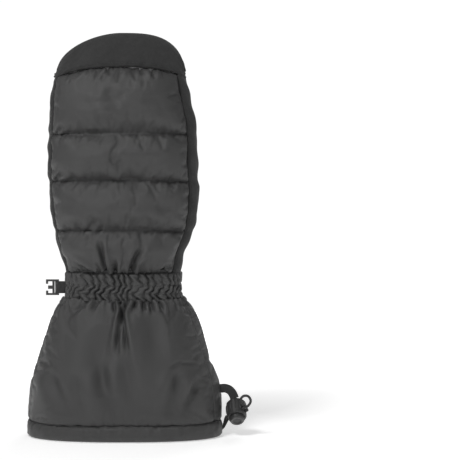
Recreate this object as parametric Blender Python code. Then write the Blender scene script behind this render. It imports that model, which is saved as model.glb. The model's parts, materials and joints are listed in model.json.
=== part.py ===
"""Left ski mitten with a quilted back, a gathered wrist and a gauntlet cuff.

Units are metres. +Z runs from the cuff rim to the fingertips, the back of the
hand faces -Y, the palm +Y, and the thumb is on the +X side. Every surface is
worked out around the cuff's own centre line, and the empty called mitten moves
the whole model so that its bounding box stands centred on the origin.
"""

import math

import bmesh
import bpy
from mathutils import Matrix, Vector

GAP = 0.0003
EDGE_TRIM = 0.006
BACK_COLUMNS = 10
TIP_ROWS = 5
SHIFT = (-0.0104, -0.0143, 0.0)

# Heights along the mitten
RIM_TOP = 0.0130
PANEL_LOW = 0.0065
CUFF_TOP = 0.1180
TIP = 0.3446
BAFFLE_SEAMS = (0.1420, 0.1780, 0.2205, 0.2605, 0.3155)
PALM_OVERLAY_SEAM = 0.2680
OVERLAY_MIDDLE = 0.2930
TOP_BAFFLE_TRIM = 0.0006
GUSSET_TRIM = 0.0008

# Cross-section
ROUNDNESS = 2.4
TAPER_START = 0.2500
GUSSET_EDGE = {"back_thumb": 0.880, "back_little": 0.944, "palm": 0.857}

# Layers, as distances in from the outer face: (start, end)
SHELL = (0.0, 0.0009)
PADDING = (0.0024, 0.0046)
MEMBRANE = (0.0052, 0.0056)
LINING = (0.0062, 0.0076)
CUFF_LINING = (0.0050, 0.0062)
BAFFLE_PUFF = 0.0040

# Opening in the palm that the thumb grows out of, and the grid cells it takes up
THUMB_HOLE_X = (0.0080, 0.0412)
THUMB_HOLE_Z = (0.1515, 0.2040)
HOLE_COLUMNS = range(3, 6)
HOLE_ROWS = range(1, 5)
PALM_COLUMNS = 12

# Outline of the hand: height of the side, x of the little-finger and thumb sides
HAND_SIDES = (
    (0.1405, -0.0500, 0.0480),
    (0.1550, -0.0540, 0.0510),
    (0.1820, -0.0610, 0.0610),
    (0.2090, -0.0640, 0.0640),
    (0.2300, -0.0650, 0.0630),
    (0.2640, -0.0640, 0.0620),
    (0.2920, -0.0620, 0.0560),
    (0.3135, -0.0565, 0.0515),
)
# Height on the centre line against height at the sides, because seams bow up
SEAM_BOW = (
    (0.1420, 0.1405),
    (0.1780, 0.1765),
    (0.2205, 0.2185),
    (0.2605, 0.2585),
    (0.3155, 0.3065),
    (0.3446, 0.3135),
)
# Height, depth of the back, depth of the palm
HAND_DEPTHS = (
    (0.1405, 0.0270, 0.0260),
    (0.1900, 0.0310, 0.0290),
    (0.2400, 0.0310, 0.0280),
    (0.2800, 0.0290, 0.0260),
)
# Height, half width and half depth of the cuff
CUFF_SHAPE = (
    (0.0000, 0.0825, 0.0420),
    (0.0250, 0.0820, 0.0415),
    (0.0450, 0.0800, 0.0405),
    (0.0660, 0.0735, 0.0380),
    (0.0860, 0.0675, 0.0350),
    (0.1040, 0.0605, 0.0315),
    (0.1180, 0.0515, 0.0280),
)
WRIST_WIDTHS = ((0.0, 0.0500), (0.5, 0.0485), (1.0, 0.0490))

# Stations of the thumb: centre, turn from palm-outward to up, half width, half depth, squareness
THUMB_ROLL = math.radians(14)
THUMB_BASE = (
    ((0.0245, 0.0140, 0.1775), 0, 0.0153, 0.0248, 5.0),
    ((0.0250, 0.0300, 0.1780), 4, 0.0160, 0.0250, 4.0),
    ((0.0290, 0.0449, 0.1863), 38, 0.0200, 0.0225, 3.0),
    ((0.0325, 0.0493, 0.1993), 74, 0.0240, 0.0190, 2.6),
    ((0.0345, 0.0505, 0.2100), 90, 0.0265, 0.0180, 2.4),
)
THUMB_BODY = (
    (0.2103, 0.0345, 0.0505, 0.0265, 0.0180),
    (0.2300, 0.0340, 0.0515, 0.0280, 0.0185),
    (0.2500, 0.0330, 0.0510, 0.0268, 0.0175),
    (0.2700, 0.0318, 0.0500, 0.0232, 0.0155),
    (0.2930, 0.0305, 0.0490, 0.0190, 0.0130),
)
THUMB_TIP = 0.2930

# Cord lock and drawcord
CORD_RADIUS = 0.0011
TAPE_HALF_WIDTH = 0.0038
LOCK_CENTRE = Vector((0.0960, -0.0030, 0.0205))
BUTTON_WAY = Vector((0.05, -0.72, -0.69)).normalized()
CORD_HINT = Vector((0.79, -0.40, 0.47))
CORD_WAY = (CORD_HINT - BUTTON_WAY * CORD_HINT.dot(BUTTON_WAY)).normalized()
LOCK_RADIUS = 0.0085
BORE_RADIUS = 0.0066
PLUNGER_RADIUS = 0.0063
SPRING_TURNS = 2.5

# Clip strap and clip
STRAP_Z = (0.1223, 0.1323)
CLIP_X = (-0.0675, -0.0657, -0.0620, -0.0602, -0.0582, -0.0564)
CLIP_Z = (0.1206, 0.1222, 0.1243, 0.1259, 0.1287, 0.1303, 0.1324, 0.1340)
CLIP_HALF_THICKNESS = 0.0011

COLOURS = {
    "nylon": (0.065, 0.065, 0.066, 0.46),
    "softshell": (0.034, 0.034, 0.035, 0.85),
    "padding": (0.75, 0.75, 0.73, 0.95),
    "membrane": (0.62, 0.64, 0.66, 0.45),
    "fleece": (0.030, 0.030, 0.031, 0.95),
    "elastic": (0.045, 0.045, 0.046, 0.80),
    "webbing": (0.030, 0.030, 0.031, 0.75),
    "plastic": (0.022, 0.022, 0.023, 0.42),
    "cord": (0.020, 0.020, 0.021, 0.70),
    "steel": (0.60, 0.60, 0.58, 0.30),
    "label": (0.55, 0.55, 0.54, 0.60),
}


def clear_scene():
    """Remove every object that the file starts with."""
    for item in list(bpy.data.objects):
        bpy.data.objects.remove(item, do_unlink=True)


def material(name):
    """Return the named material, made the first time it is asked for."""
    found = bpy.data.materials.get(name)
    if found:
        return found
    red, green, blue, roughness = COLOURS[name]
    made = bpy.data.materials.new(name)
    made.use_nodes = True
    shader = made.node_tree.nodes["Principled BSDF"]
    shader.inputs["Base Color"].default_value = (red, green, blue, 1.0)
    shader.inputs["Roughness"].default_value = roughness
    shader.inputs["Metallic"].default_value = 1.0 if name == "steel" else 0.0
    return made


def add_object(name, bm, finish, parent, place=None):
    """Turn a bmesh into a named object under a parent empty."""
    bmesh.ops.remove_doubles(bm, verts=bm.verts[:], dist=0.000001)
    loose = [v for v in bm.verts if not v.link_faces]
    bmesh.ops.delete(bm, geom=loose, context="VERTS")
    bmesh.ops.recalc_face_normals(bm, faces=bm.faces[:])
    mesh = bpy.data.meshes.new(name)
    bm.to_mesh(mesh)
    bm.free()
    mesh.shade_smooth()
    mesh.set_sharp_from_angle(angle=math.radians(40))
    return link(name, mesh, finish, parent, place)


def link(name, data, finish, parent, place=None):
    """Link mesh or curve data as an object whose place is given in the mitten's own frame."""
    item = bpy.data.objects.new(name, data)
    data.materials.append(material(finish))
    bpy.context.scene.collection.objects.link(item)
    item.parent = parent
    own = Matrix.Translation(-centre_of(parent))
    item.matrix_local = own @ place if place else own
    return item


def centre_of(parent):
    """Return a parent empty's place in the mitten's own frame."""
    place = Vector((0.0, 0.0, 0.0))
    while parent.parent:
        place += parent.location
        parent = parent.parent
    return place


def empty(name, parent, place):
    """Add an empty on a joint's axis; place is in the mitten's own frame."""
    item = bpy.data.objects.new(name, None)
    item.empty_display_size = 0.01
    bpy.context.scene.collection.objects.link(item)
    if parent:
        item.parent = parent
        item.location = Vector(place) - centre_of(parent)
    else:
        item.location = place
    return item


def sheet_solid(outer, inner, rows, columns, keep=None, ring=False, closed_top=False):
    """Return a closed solid between two grids of points, less the cells that keep refuses."""
    bm = bmesh.new()
    count = columns if ring else columns + 1
    skins = []
    for surface in (outer, inner):
        skins.append([[bm.verts.new(surface(i, j)) for j in range(count)] for i in range(rows + 1)])

    def present(i, j):
        if ring:
            j %= columns
        inside = 0 <= i < rows and 0 <= j < columns
        return inside and (keep is None or keep(i, j))

    for i in range(rows):
        for j in range(columns):
            if not present(i, j):
                continue
            right = (j + 1) % count
            corners = ((i, j), (i, right), (i + 1, right), (i + 1, j))
            for skin in skins:
                bm.faces.new([skin[a][b] for a, b in corners])
            beside = ((i - 1, j), (i, j + 1), (i + 1, j), (i, j - 1))
            for edge, (a, b) in enumerate(beside):
                at_top = closed_top and a == rows
                if present(a, b) or at_top:
                    continue
                first = corners[edge]
                second = corners[(edge + 1) % 4]
                wall = [
                    skins[0][first[0]][first[1]],
                    skins[0][second[0]][second[1]],
                    skins[1][second[0]][second[1]],
                    skins[1][first[0]][first[1]],
                ]
                bm.faces.new(wall)
    return bm


def curve_through(knots, value, column=1):
    """Read a column of a table at a value, along a smooth curve that never overshoots."""
    if value <= knots[0][0]:
        return knots[0][column]
    if value >= knots[-1][0]:
        return knots[-1][column]
    slopes = []
    for a, b in zip(knots, knots[1:]):
        slopes.append((b[column] - a[column]) / (b[0] - a[0]))
    index = max(k for k in range(len(knots) - 1) if knots[k][0] <= value)

    def tangent(k):
        if k == 0:
            return slopes[0]
        if k == len(slopes):
            return slopes[-1]
        before, after = slopes[k - 1], slopes[k]
        if before * after <= 0:
            return 0.0
        return 2 * before * after / (before + after)

    low, high = knots[index], knots[index + 1]
    span = high[0] - low[0]
    t = (value - low[0]) / span
    start = low[column] * (2 * t**3 - 3 * t**2 + 1) + tangent(index) * span * (t**3 - 2 * t**2 + t)
    end = high[column] * (3 * t**2 - 2 * t**3) + tangent(index + 1) * span * (t**3 - t**2)
    return start + end


def rounded(value, power):
    """Return a sine or cosine pushed out towards a rounded square."""
    return math.copysign(abs(value) ** (2 / power), value)


def angle_at(fraction):
    """Return the section angle whose point lies at this fraction of the half width."""
    return math.acos(max(-1.0, min(1.0, fraction)) ** (ROUNDNESS / 2))


def seam_shape(across, height):
    """Return how far up its bow a seam is at a place across the hand, from 0 to 1."""
    square = min(1.0, max(0.0, (height - 0.295) / (TIP - 0.295)))
    power, exponent = (3.2, 0.53) if across > 0 else (1.75, 0.56)
    power = 2.0 + (power - 2.0) * square
    exponent = 1.0 + (exponent - 1.0) * square
    return max(0.0, 1.0 - abs(across) ** power) ** exponent


def hand_point(angle, height, inset):
    """Return a point of the hand at a section angle, for a level's height on the centre line."""
    span = TIP - BAFFLE_SEAMS[0]
    stretched = BAFFLE_SEAMS[0] + (height - BAFFLE_SEAMS[0]) * span / (span - inset)
    side = curve_through(SEAM_BOW, stretched)
    bow = stretched - side
    left = curve_through(HAND_SIDES, side, 1)
    right = curve_through(HAND_SIDES, side, 2)
    across = rounded(math.cos(angle), ROUNDNESS)
    deep = rounded(math.sin(angle), ROUNDNESS)
    depth = curve_through(HAND_DEPTHS, height, 1 if deep < 0 else 2)
    over = (height - TAPER_START) / (TIP - inset - TAPER_START)
    taper = (1.0 - min(1.0, max(0.0, over)) ** 2.3) ** (1 / 2.1)
    x = (left + right) / 2 + ((right - left) / 2 - inset) * across
    y = (depth - inset) * taper * deep
    return Vector((x, y, height - bow * (1.0 - seam_shape(across, stretched))))


def back_angles(columns):
    """Return section angles across the quilted back, from the little-finger side to the thumb side."""
    start = math.pi + angle_at(GUSSET_EDGE["back_little"])
    end = 2 * math.pi - angle_at(GUSSET_EDGE["back_thumb"])
    return [start + (end - start) * j / columns for j in range(columns + 1)]


def puff_at(angle, height):
    """Return how far a baffle stands out between its two seams."""
    start, *_, end = back_angles(1)
    across = min(1.0, max(0.0, (angle - start) / (end - start)))
    for low, high in zip(BAFFLE_SEAMS, BAFFLE_SEAMS[1:]):
        if low <= height <= high:
            along = math.sin(math.pi * (height - low) / (high - low))
            return BAFFLE_PUFF * along**0.7 * math.sin(math.pi * across) ** 0.35
    return 0.0


def heights(low, high, rows):
    """Return evenly spaced heights with a gap left at both ends."""
    start, end = low + GAP / 2, high - GAP / 2
    return [start + (end - start) * i / rows for i in range(rows + 1)]


def to_tip(low, inset, rows):
    """Return heights that crowd together towards the tip of a layer."""
    end = TIP - inset
    return [end - (end - low) * (1 - i / rows) ** 1.6 for i in range(rows + 1)]


def baffle(index, parent):
    """Make one quilted nylon baffle of the back."""
    rows = 4
    angles = back_angles(BACK_COLUMNS)
    angles[0] += EDGE_TRIM
    angles[-1] -= EDGE_TRIM
    top = BAFFLE_SEAMS[index + 1] - (TOP_BAFFLE_TRIM if index == 3 else 0.0)
    levels = heights(BAFFLE_SEAMS[index], top, rows)

    def face(inset):
        def point(i, j):
            return hand_point(angles[j], levels[i], inset - puff_at(angles[j], levels[i]))
        return point

    bm = sheet_solid(face(SHELL[0]), face(SHELL[1]), rows, BACK_COLUMNS)
    add_object(f"back_baffle_{index + 1}", bm, "nylon", parent)


def fingertip_cap(parent):
    """Make the softshell cap that folds over the fingertips and down the palm side."""
    edge = angle_at(GUSSET_EDGE["palm"]) + EDGE_TRIM
    middle_angles = [edge + (math.pi - 2 * edge) * k / 8 for k in range(9)]
    half = [0.0, edge / 2] + middle_angles + [math.pi - edge / 2, math.pi]
    angles = half + [2 * math.pi - a for a in half[-2:0:-1]]
    palm_rows = 3
    low = heights(PALM_OVERLAY_SEAM, BAFFLE_SEAMS[-1], palm_rows)[:-1]
    middle = BAFFLE_SEAMS[-1] + GAP / 2

    def face(inset):
        levels = low + to_tip(middle, inset, TIP_ROWS)
        return lambda i, j: hand_point(angles[j], levels[i], inset)

    def keep(i, j):
        return i >= palm_rows or 2 <= j < len(half) - 3

    rows = palm_rows + TIP_ROWS
    bm = sheet_solid(face(SHELL[0]), face(SHELL[1]), rows, len(angles), keep, True, True)
    add_object("fingertip_cap", bm, "softshell", parent)


def gusset(name, angles, parent):
    """Make a boxing strip along one side of the hand."""
    rows = 12
    levels = heights(BAFFLE_SEAMS[0], BAFFLE_SEAMS[-1] - GUSSET_TRIM, rows)

    def face(inset):
        return lambda i, j: hand_point(angles[j], levels[i], inset)

    bm = sheet_solid(face(SHELL[0]), face(SHELL[1]), rows, len(angles) - 1)
    add_object(name, bm, "softshell", parent)


def gussets(parent):
    """Make the thumb-side and little-finger-side strips."""
    palm = angle_at(GUSSET_EDGE["palm"]) - EDGE_TRIM
    thumb = angle_at(GUSSET_EDGE["back_thumb"]) - EDGE_TRIM
    little = angle_at(GUSSET_EDGE["back_little"]) - EDGE_TRIM
    turn = math.pi
    gusset("thumb_side_gusset", (-thumb, -thumb / 2, 0.0, palm / 2, palm), parent)
    across = (turn - palm, turn - palm / 2, turn, turn + little / 2, turn + little)
    gusset("little_finger_side_gusset", across, parent)


def palm_angles(height, inset):
    """Return the palm's section angles, with the thumb hole's edges and the panel's edges among them."""
    level = min(max(height, THUMB_HOLE_Z[0]), THUMB_HOLE_Z[1])
    left = curve_through(HAND_SIDES, level, 1)
    right = curve_through(HAND_SIDES, level, 2)
    centre = (left + right) / 2
    half = (right - left) / 2 - inset
    near = angle_at((THUMB_HOLE_X[1] - centre) / half)
    far = angle_at((THUMB_HOLE_X[0] - centre) / half)
    edge = angle_at(GUSSET_EDGE["palm"])
    hole = [near + (far - near) * k / 3 for k in range(4)]
    rest = [far + (math.pi - edge - far) * k / 4 for k in range(1, 5)]
    return [0.0, edge / 2, edge] + hole + rest + [math.pi - edge / 2, math.pi]


def hole_levels(low, high, upper_rows):
    """Return heights up the palm with two of them on the thumb hole's edges."""
    levels = [low + GAP / 2]
    for i in range(5):
        levels.append(THUMB_HOLE_Z[0] + (THUMB_HOLE_Z[1] - THUMB_HOLE_Z[0]) * i / 4)
    for i in range(upper_rows):
        levels.append(THUMB_HOLE_Z[1] + (high - THUMB_HOLE_Z[1]) * (i + 1) / upper_rows)
    return levels


def outside_hole(i, j):
    """Tell whether a grid cell lies clear of the thumb's opening."""
    return i not in HOLE_ROWS or j not in HOLE_COLUMNS


def palm_panel(parent):
    """Make the softshell palm with the opening that the thumb grows out of."""
    first, last = 2, PALM_COLUMNS - 2
    levels = hole_levels(BAFFLE_SEAMS[0], PALM_OVERLAY_SEAM - GAP / 2, 3)

    def face(inset):
        def point(i, j):
            angle = palm_angles(levels[i], inset)[j + first]
            if j == 0:
                angle += EDGE_TRIM
            if j == last - first:
                angle -= EDGE_TRIM
            return hand_point(angle, levels[i], inset)
        return point

    def keep(i, j):
        return outside_hole(i, j + first)

    bm = sheet_solid(face(SHELL[0]), face(SHELL[1]), len(levels) - 1, last - first, keep)
    add_object("palm_panel", bm, "softshell", parent)


def back_padding(parent):
    """Make the wadding behind the quilted back."""
    seams = [BAFFLE_SEAMS[0] + GAP / 2]
    for low, high in zip(BAFFLE_SEAMS, BAFFLE_SEAMS[1:]):
        seams += [low + (high - low) * k / 4 for k in (1, 2, 3, 4)]
    little = angle_at(GUSSET_EDGE["back_little"])
    thumb = angle_at(GUSSET_EDGE["back_thumb"])
    angles = [math.pi, math.pi + little / 2] + back_angles(BACK_COLUMNS)
    angles += [2 * math.pi - thumb / 2, 2 * math.pi]
    rows = len(seams) - 1 + TIP_ROWS

    def face(inset, puffed):
        levels = seams[:-1] + to_tip(BAFFLE_SEAMS[-1], inset, TIP_ROWS)

        def point(i, j):
            puff = puff_at(angles[j], levels[i]) if puffed else 0.0
            return hand_point(angles[j], levels[i], inset - puff) - Vector((0.0, GAP / 2, 0.0))
        return point

    bm = sheet_solid(face(PADDING[0], True), face(PADDING[1], False), rows, len(angles) - 1)
    add_object("back_padding", bm, "padding", parent)


def inner_levels(inset):
    """Return an inner layer's heights, on the thumb hole's edges and crowding at the tip."""
    low = hole_levels(BAFFLE_SEAMS[0], PALM_OVERLAY_SEAM, 2)
    return low[:-1] + [PALM_OVERLAY_SEAM, OVERLAY_MIDDLE] + to_tip(BAFFLE_SEAMS[-1], inset, TIP_ROWS)


def palm_padding(parent):
    """Make the thinner wadding of the palm, open at the thumb."""
    def face(inset):
        levels = inner_levels(inset)

        def point(i, j):
            place = hand_point(palm_angles(levels[i], inset)[j], levels[i], inset)
            return place + Vector((0.0, GAP / 2, 0.0))
        return point

    rows = len(inner_levels(0.0)) - 1
    bm = sheet_solid(face(PADDING[0]), face(PADDING[1]), rows, PALM_COLUMNS, outside_hole)
    add_object("palm_padding", bm, "padding", parent)


def inner_bag(name, layer, finish, parent):
    """Make a bag that lines the hand all round and is open at the wrist and the thumb."""
    def face(inset):
        levels = inner_levels(inset)

        def point(i, j):
            angles = palm_angles(levels[i], inset)
            turned = angles[j] if j <= PALM_COLUMNS else 2 * math.pi - angles[2 * PALM_COLUMNS - j]
            return hand_point(turned, levels[i], inset)
        return point

    rows = len(inner_levels(0.0)) - 1
    bm = sheet_solid(face(layer[0]), face(layer[1]), rows, 2 * PALM_COLUMNS, outside_hole, True, True)
    add_object(name, bm, finish, parent)


def thumb_base_point(station, angle, inset):
    """Return a point of the bent tube that joins the palm to the thumb."""
    centre, turn, wide, deep, power = station
    turned = math.radians(turn)
    along = Vector((math.cos(THUMB_ROLL), -math.sin(THUMB_ROLL), 0.0))
    outward = Vector((0.0, math.sin(turned), -math.cos(turned)))
    x = (wide - inset) * rounded(math.cos(angle), power)
    y = (deep - inset) * rounded(math.sin(angle), power)
    return Vector(centre) + along * x + outward * y


def thumb_base(name, layer, finish, parent):
    """Make one layer of the bent tube between palm and thumb."""
    columns = 16
    rows = len(THUMB_BASE) - 1

    def face(inset):
        return lambda i, j: thumb_base_point(THUMB_BASE[i], 2 * math.pi * j / columns, inset)

    bm = sheet_solid(face(layer[0]), face(layer[1]), rows, columns, None, True)
    add_object(name, bm, finish, parent)


def thumb_point(angle, height, inset):
    """Return a point of the thumb above its base."""
    x = curve_through(THUMB_BODY, height, 1)
    y = curve_through(THUMB_BODY, height, 2)
    wide = curve_through(THUMB_BODY, height, 3) - inset
    deep = curve_through(THUMB_BODY, height, 4) - inset
    over = min(1.0, max(0.0, (height - 0.262) / (THUMB_TIP - inset - 0.262)))
    across = wide * rounded(math.cos(angle), ROUNDNESS) * (1 - 0.45 * over**2.4)
    outward = deep * rounded(math.sin(angle), ROUNDNESS) * (1 - over**2.2) ** 0.5
    z = height - 0.010 * over**2 * abs(math.cos(angle)) ** 2.5
    turned = Vector((math.cos(THUMB_ROLL), -math.sin(THUMB_ROLL), 0.0)) * across
    return Vector((x, y, z)) + turned + Vector((0.0, outward, 0.0))


def thumb_half(name, first, push, finish, parent):
    """Make one of the thumb's two shell panels."""
    rows, columns = 7, 8

    def face(inset):
        start, end = THUMB_BODY[0][0], THUMB_TIP - inset
        levels = [end - (end - start) * (1 - i / rows) ** 1.3 for i in range(rows + 1)]

        def point(i, j):
            place = thumb_point(first + math.pi * j / columns, levels[i], inset)
            return place + Vector((0.0, push, 0.0))
        return point

    bm = sheet_solid(face(SHELL[0]), face(SHELL[1]), rows, columns)
    add_object(name, bm, finish, parent)


def thumb_bag(name, layer, finish, parent):
    """Make a bag inside the thumb."""
    rows, columns = 6, 16

    def face(inset):
        start, end = THUMB_BODY[0][0], THUMB_TIP - inset
        levels = [end - (end - start) * (1 - i / rows) ** 1.3 for i in range(rows + 1)]
        return lambda i, j: thumb_point(2 * math.pi * j / columns, levels[i], inset)

    bm = sheet_solid(face(layer[0]), face(layer[1]), rows, columns, None, True, True)
    add_object(name, bm, finish, parent)


def cuff_point(angle, height, inset):
    """Return a point of the flared cuff."""
    wide = curve_through(CUFF_SHAPE, height, 1) - inset
    deep = curve_through(CUFF_SHAPE, height, 2) - inset
    x = wide * rounded(math.cos(angle), ROUNDNESS)
    y = deep * rounded(math.sin(angle), ROUNDNESS)
    lean = -0.001 * max(0.0, height / CUFF_TOP)
    return Vector((x + lean, y, height))


def cuff_panel(name, first, push, parent):
    """Make the front or the back panel of the cuff."""
    rows, columns = 7, 12
    levels = heights(PANEL_LOW, CUFF_TOP, rows)

    def face(inset):
        def point(i, j):
            place = cuff_point(first + math.pi * j / columns, levels[i], inset)
            return place + Vector((0.0, push, 0.0))
        return point

    bm = sheet_solid(face(SHELL[0]), face(SHELL[1]), rows, columns)
    add_object(name, bm, "nylon", parent)


def cuff_ring(name, layer, finish, parent):
    """Make a layer that runs all round the inside of the cuff."""
    rows, columns = 6, 24
    levels = heights(PANEL_LOW, CUFF_TOP, rows)

    def face(inset):
        return lambda i, j: cuff_point(2 * math.pi * j / columns, levels[i], inset)

    bm = sheet_solid(face(layer[0]), face(layer[1]), rows, columns, None, True)
    add_object(name, bm, finish, parent)


def hem_channel(parent):
    """Make the folded hem that holds the drawcord, with the cord's exit on the thumb side."""
    outside = (
        (-0.0015, RIM_TOP), (-0.0015, 0.0078), (-0.0015, 0.0018), (-0.0006, 0.0),
        (0.0070, 0.0), (0.0079, 0.0010), (0.0079, RIM_TOP),
    )
    inside = (
        (-0.0006, RIM_TOP), (-0.0006, 0.0078), (-0.0006, 0.0018), (-0.0002, 0.0009),
        (0.0066, 0.0009), (0.0070, 0.0014), (0.0070, RIM_TOP),
    )
    columns = 34
    exit_half_angle = 0.110
    sweep = 2 * math.pi - 2 * exit_half_angle
    turns = [exit_half_angle + sweep * j / (columns - 1) for j in range(columns)]

    def face(profile):
        def point(i, j):
            inset, height = profile[i]
            place = cuff_point(turns[j], 0.0, inset)
            flare = cuff_point(turns[j], height, inset)
            return Vector((flare.x, flare.y, place.z + height))
        return point

    def keep(i, j):
        return not (i == 1 and j == columns - 1)

    bm = sheet_solid(face(outside), face(inside), len(outside) - 1, columns, keep, True)
    add_object("hem_channel", bm, "nylon", parent)


def tube(name, points, radius, finish, parent, sides=2):
    """Make a round cord or wire as a curve with filled ends."""
    curve = bpy.data.curves.new(name, "CURVE")
    curve.dimensions = "3D"
    curve.bevel_depth = radius
    curve.bevel_resolution = sides
    curve.use_fill_caps = True
    spline = curve.splines.new("POLY")
    spline.points.add(len(points) - 1)
    for at, place in zip(spline.points, points):
        at.co = (place[0], place[1], place[2], 1.0)
    return link(name, curve, finish, parent)


def through(points, steps):
    """Return points read evenly from a smooth curve through a route."""
    route = [Vector(p) for p in points]
    ends = [route[0] * 2 - route[1]] + route + [route[-1] * 2 - route[-2]]
    found = []
    for a, b, c, d in zip(ends, ends[1:], ends[2:], ends[3:]):
        for k in range(steps):
            t = k / steps
            even = b * 2 + (c - a) * t
            bend = (a * 2 - b * 5 + c * 4 - d) * t**2 + (b * 3 - a - c * 3 + d) * t**3
            found.append((even + bend) / 2)
    return found + [route[-1]]


def hem_drawcord(parent):
    """Make the elastic cord that runs round inside the hem."""
    count = 34
    start = 0.135
    points = []
    for k in range(count + 1):
        angle = start + (2 * math.pi - 2 * start) * k / count
        place = cuff_point(angle, 0.0035, 0.0034)
        points.append(place)
    tube("hem_drawcord", points, CORD_RADIUS, "cord", parent)


def lock_frame():
    """Return the cord lock's own frame: +X along the cord, +Z out of the button."""
    side = BUTTON_WAY.cross(CORD_WAY).normalized()
    turn = Matrix((CORD_WAY, side, BUTTON_WAY)).transposed().to_4x4()
    return Matrix.Translation(LOCK_CENTRE) @ turn


def drawcord_tail_route():
    """Return the free drawcord's route: out of the hem, through the lock, round and back."""
    frame = lock_frame()
    side = 0.0015
    height = 0.0023

    def in_lock(along, across):
        return frame @ Vector((along, across, height))

    return [
        (0.0790, 0.0068, 0.0036),
        (0.0802, 0.0036, 0.0038),
        (0.0845, 0.0010, 0.0064),
        in_lock(-0.0105, side),
        in_lock(-0.0082, side),
        in_lock(0.0, side),
        in_lock(0.0090, side),
        (0.1062, -0.0088, 0.0262),
        (0.1082, -0.0100, 0.0305),
        (0.1060, -0.0106, 0.0345),
        (0.1018, -0.0104, 0.0345),
        (0.0998, -0.0100, 0.0305),
        in_lock(0.0098, -side - 0.0008),
        in_lock(0.0078, -side),
        in_lock(0.0, -side),
        in_lock(-0.0082, -side),
        in_lock(-0.0105, -side),
        (0.0845, -0.0040, 0.0064),
        (0.0802, -0.0046, 0.0038),
        (0.0790, -0.0070, 0.0036),
    ]


def drawcord_tail(parent):
    """Make the free end of the drawcord, one loop through the lock."""
    tube("drawcord_tail", through(drawcord_tail_route(), 3), CORD_RADIUS, "cord", parent)


def turned_solid(profile, segments):
    """Return a closed solid turned round Z from a profile that starts and ends on the axis."""
    bm = bmesh.new()
    rings = []
    for radius, z in profile:
        if radius < 0.000001:
            rings.append([bm.verts.new((0.0, 0.0, z))])
            continue
        ring = []
        for k in range(segments):
            angle = 2 * math.pi * k / segments
            ring.append(bm.verts.new((radius * math.cos(angle), radius * math.sin(angle), z)))
        rings.append(ring)
    for low, high in zip(rings, rings[1:]):
        for k in range(segments):
            after = (k + 1) % segments
            if len(low) == 1:
                bm.faces.new((low[0], high[after], high[k]))
            elif len(high) == 1:
                bm.faces.new((low[k], low[after], high[0]))
            else:
                bm.faces.new((low[k], low[after], high[after], high[k]))
    return bm


def slot_cutter(name, height, z, parent):
    """Make the box that cuts the cord's way through the lock."""
    bm = bmesh.new()
    bmesh.ops.create_cube(bm, size=1.0, matrix=Matrix.Diagonal((0.04, 0.0064, height, 1.0)))
    item = add_object(name, bm, "plastic", parent, lock_frame() @ Matrix.Translation((0, 0, z)))
    item.hide_render = True
    item.display_type = "WIRE"
    return item


def cut(item, cutter):
    """Cut one object with another."""
    boolean = item.modifiers.new("cord_way", "BOOLEAN")
    boolean.operation = "DIFFERENCE"
    boolean.solver = "EXACT"
    boolean.object = cutter


def cord_lock(toggle, button):
    """Make the lock's barrel, its sprung button and the spring between them."""
    barrel = (
        (0.0, -0.0090), (0.0070, -0.0090), (LOCK_RADIUS, -0.0072), (LOCK_RADIUS, 0.0058),
        (0.0078, 0.0070), (BORE_RADIUS, 0.0070), (BORE_RADIUS, -0.0072), (0.0, -0.0072),
    )
    plunger = (
        (0.0, -0.0020), (PLUNGER_RADIUS - 0.0004, -0.0020), (PLUNGER_RADIUS, -0.0014),
        (PLUNGER_RADIUS, 0.0098), (0.0052, 0.0110), (0.0036, 0.0110), (0.0030, 0.0104), (0.0, 0.0104),
    )
    body = add_object("cord_lock_barrel", turned_solid(barrel, 24), "plastic", toggle, lock_frame())
    cut(body, slot_cutter("barrel_slot_cutter", 0.0034, 0.0023, toggle))
    piston = add_object("cord_lock_button", turned_solid(plunger, 24), "plastic", button, lock_frame())
    cut(piston, slot_cutter("button_slot_cutter", 0.0060, 0.0037, button))
    points = []
    count = 21
    low, high = -0.0066, -0.0026
    for k in range(count):
        angle = 2 * math.pi * SPRING_TURNS * k / (count - 1)
        z = low + (high - low) * k / (count - 1)
        points.append(lock_frame() @ Vector((0.0045 * math.cos(angle), 0.0045 * math.sin(angle), z)))
    tube("cord_lock_spring", points, 0.00028, "steel", toggle, 1)


def ribbon(route, thickness, half_width, face_way=None, width_way=None):
    """Return a flat strip along a route, given the way its face looks or the way its width runs."""
    points = [Vector(p) for p in route]
    normals = []
    widths = []
    for k in range(len(points)):
        before = points[max(0, k - 1)]
        after = points[min(len(points) - 1, k + 1)]
        along = (after - before).normalized()
        across = Vector(width_way) if width_way else Vector(face_way).cross(along).normalized()
        widths.append(across * half_width)
        normals.append(along.cross(across).normalized() * thickness / 2)

    def face(side):
        return lambda i, j: points[i] + normals[i] * side + widths[i] * (1 if j else -1)

    return sheet_solid(face(1), face(-1), len(points) - 1, 1)


def anchor_tape(parent):
    """Make the tape that holds the cord lock to the cuff's side seam."""
    bend = ((0.0826, 0.0, 0.0398), (0.0862, 0.0, 0.0400), (0.0900, 0.0, 0.0385), (0.0928, 0.0, 0.0352))
    bm = ribbon(through(bend, 3), 0.0010, TAPE_HALF_WIDTH, face_way=(0.0, -1.0, 0.0))
    add_object("anchor_tape", bm, "webbing", parent)


def clip_strap(parent):
    """Make the webbing loop that carries the clip."""
    bar = (-0.0573, 0.0)
    radius = 0.0019
    route = [(-0.0517, -radius, 0.1273), (-0.0545, -radius, 0.1273)]
    for k in range(9):
        angle = -math.pi / 2 - math.pi * k / 8
        route.append((bar[0] + radius * math.cos(angle), radius * math.sin(angle), 0.1273))
    route += [(-0.0545, radius, 0.1273), (-0.0517, radius, 0.1273)]
    half = (STRAP_Z[1] - STRAP_Z[0]) / 2
    add_object("clip_strap", ribbon(route, 0.0009, half, width_way=(0, 0, 1)), "webbing", parent)


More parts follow.
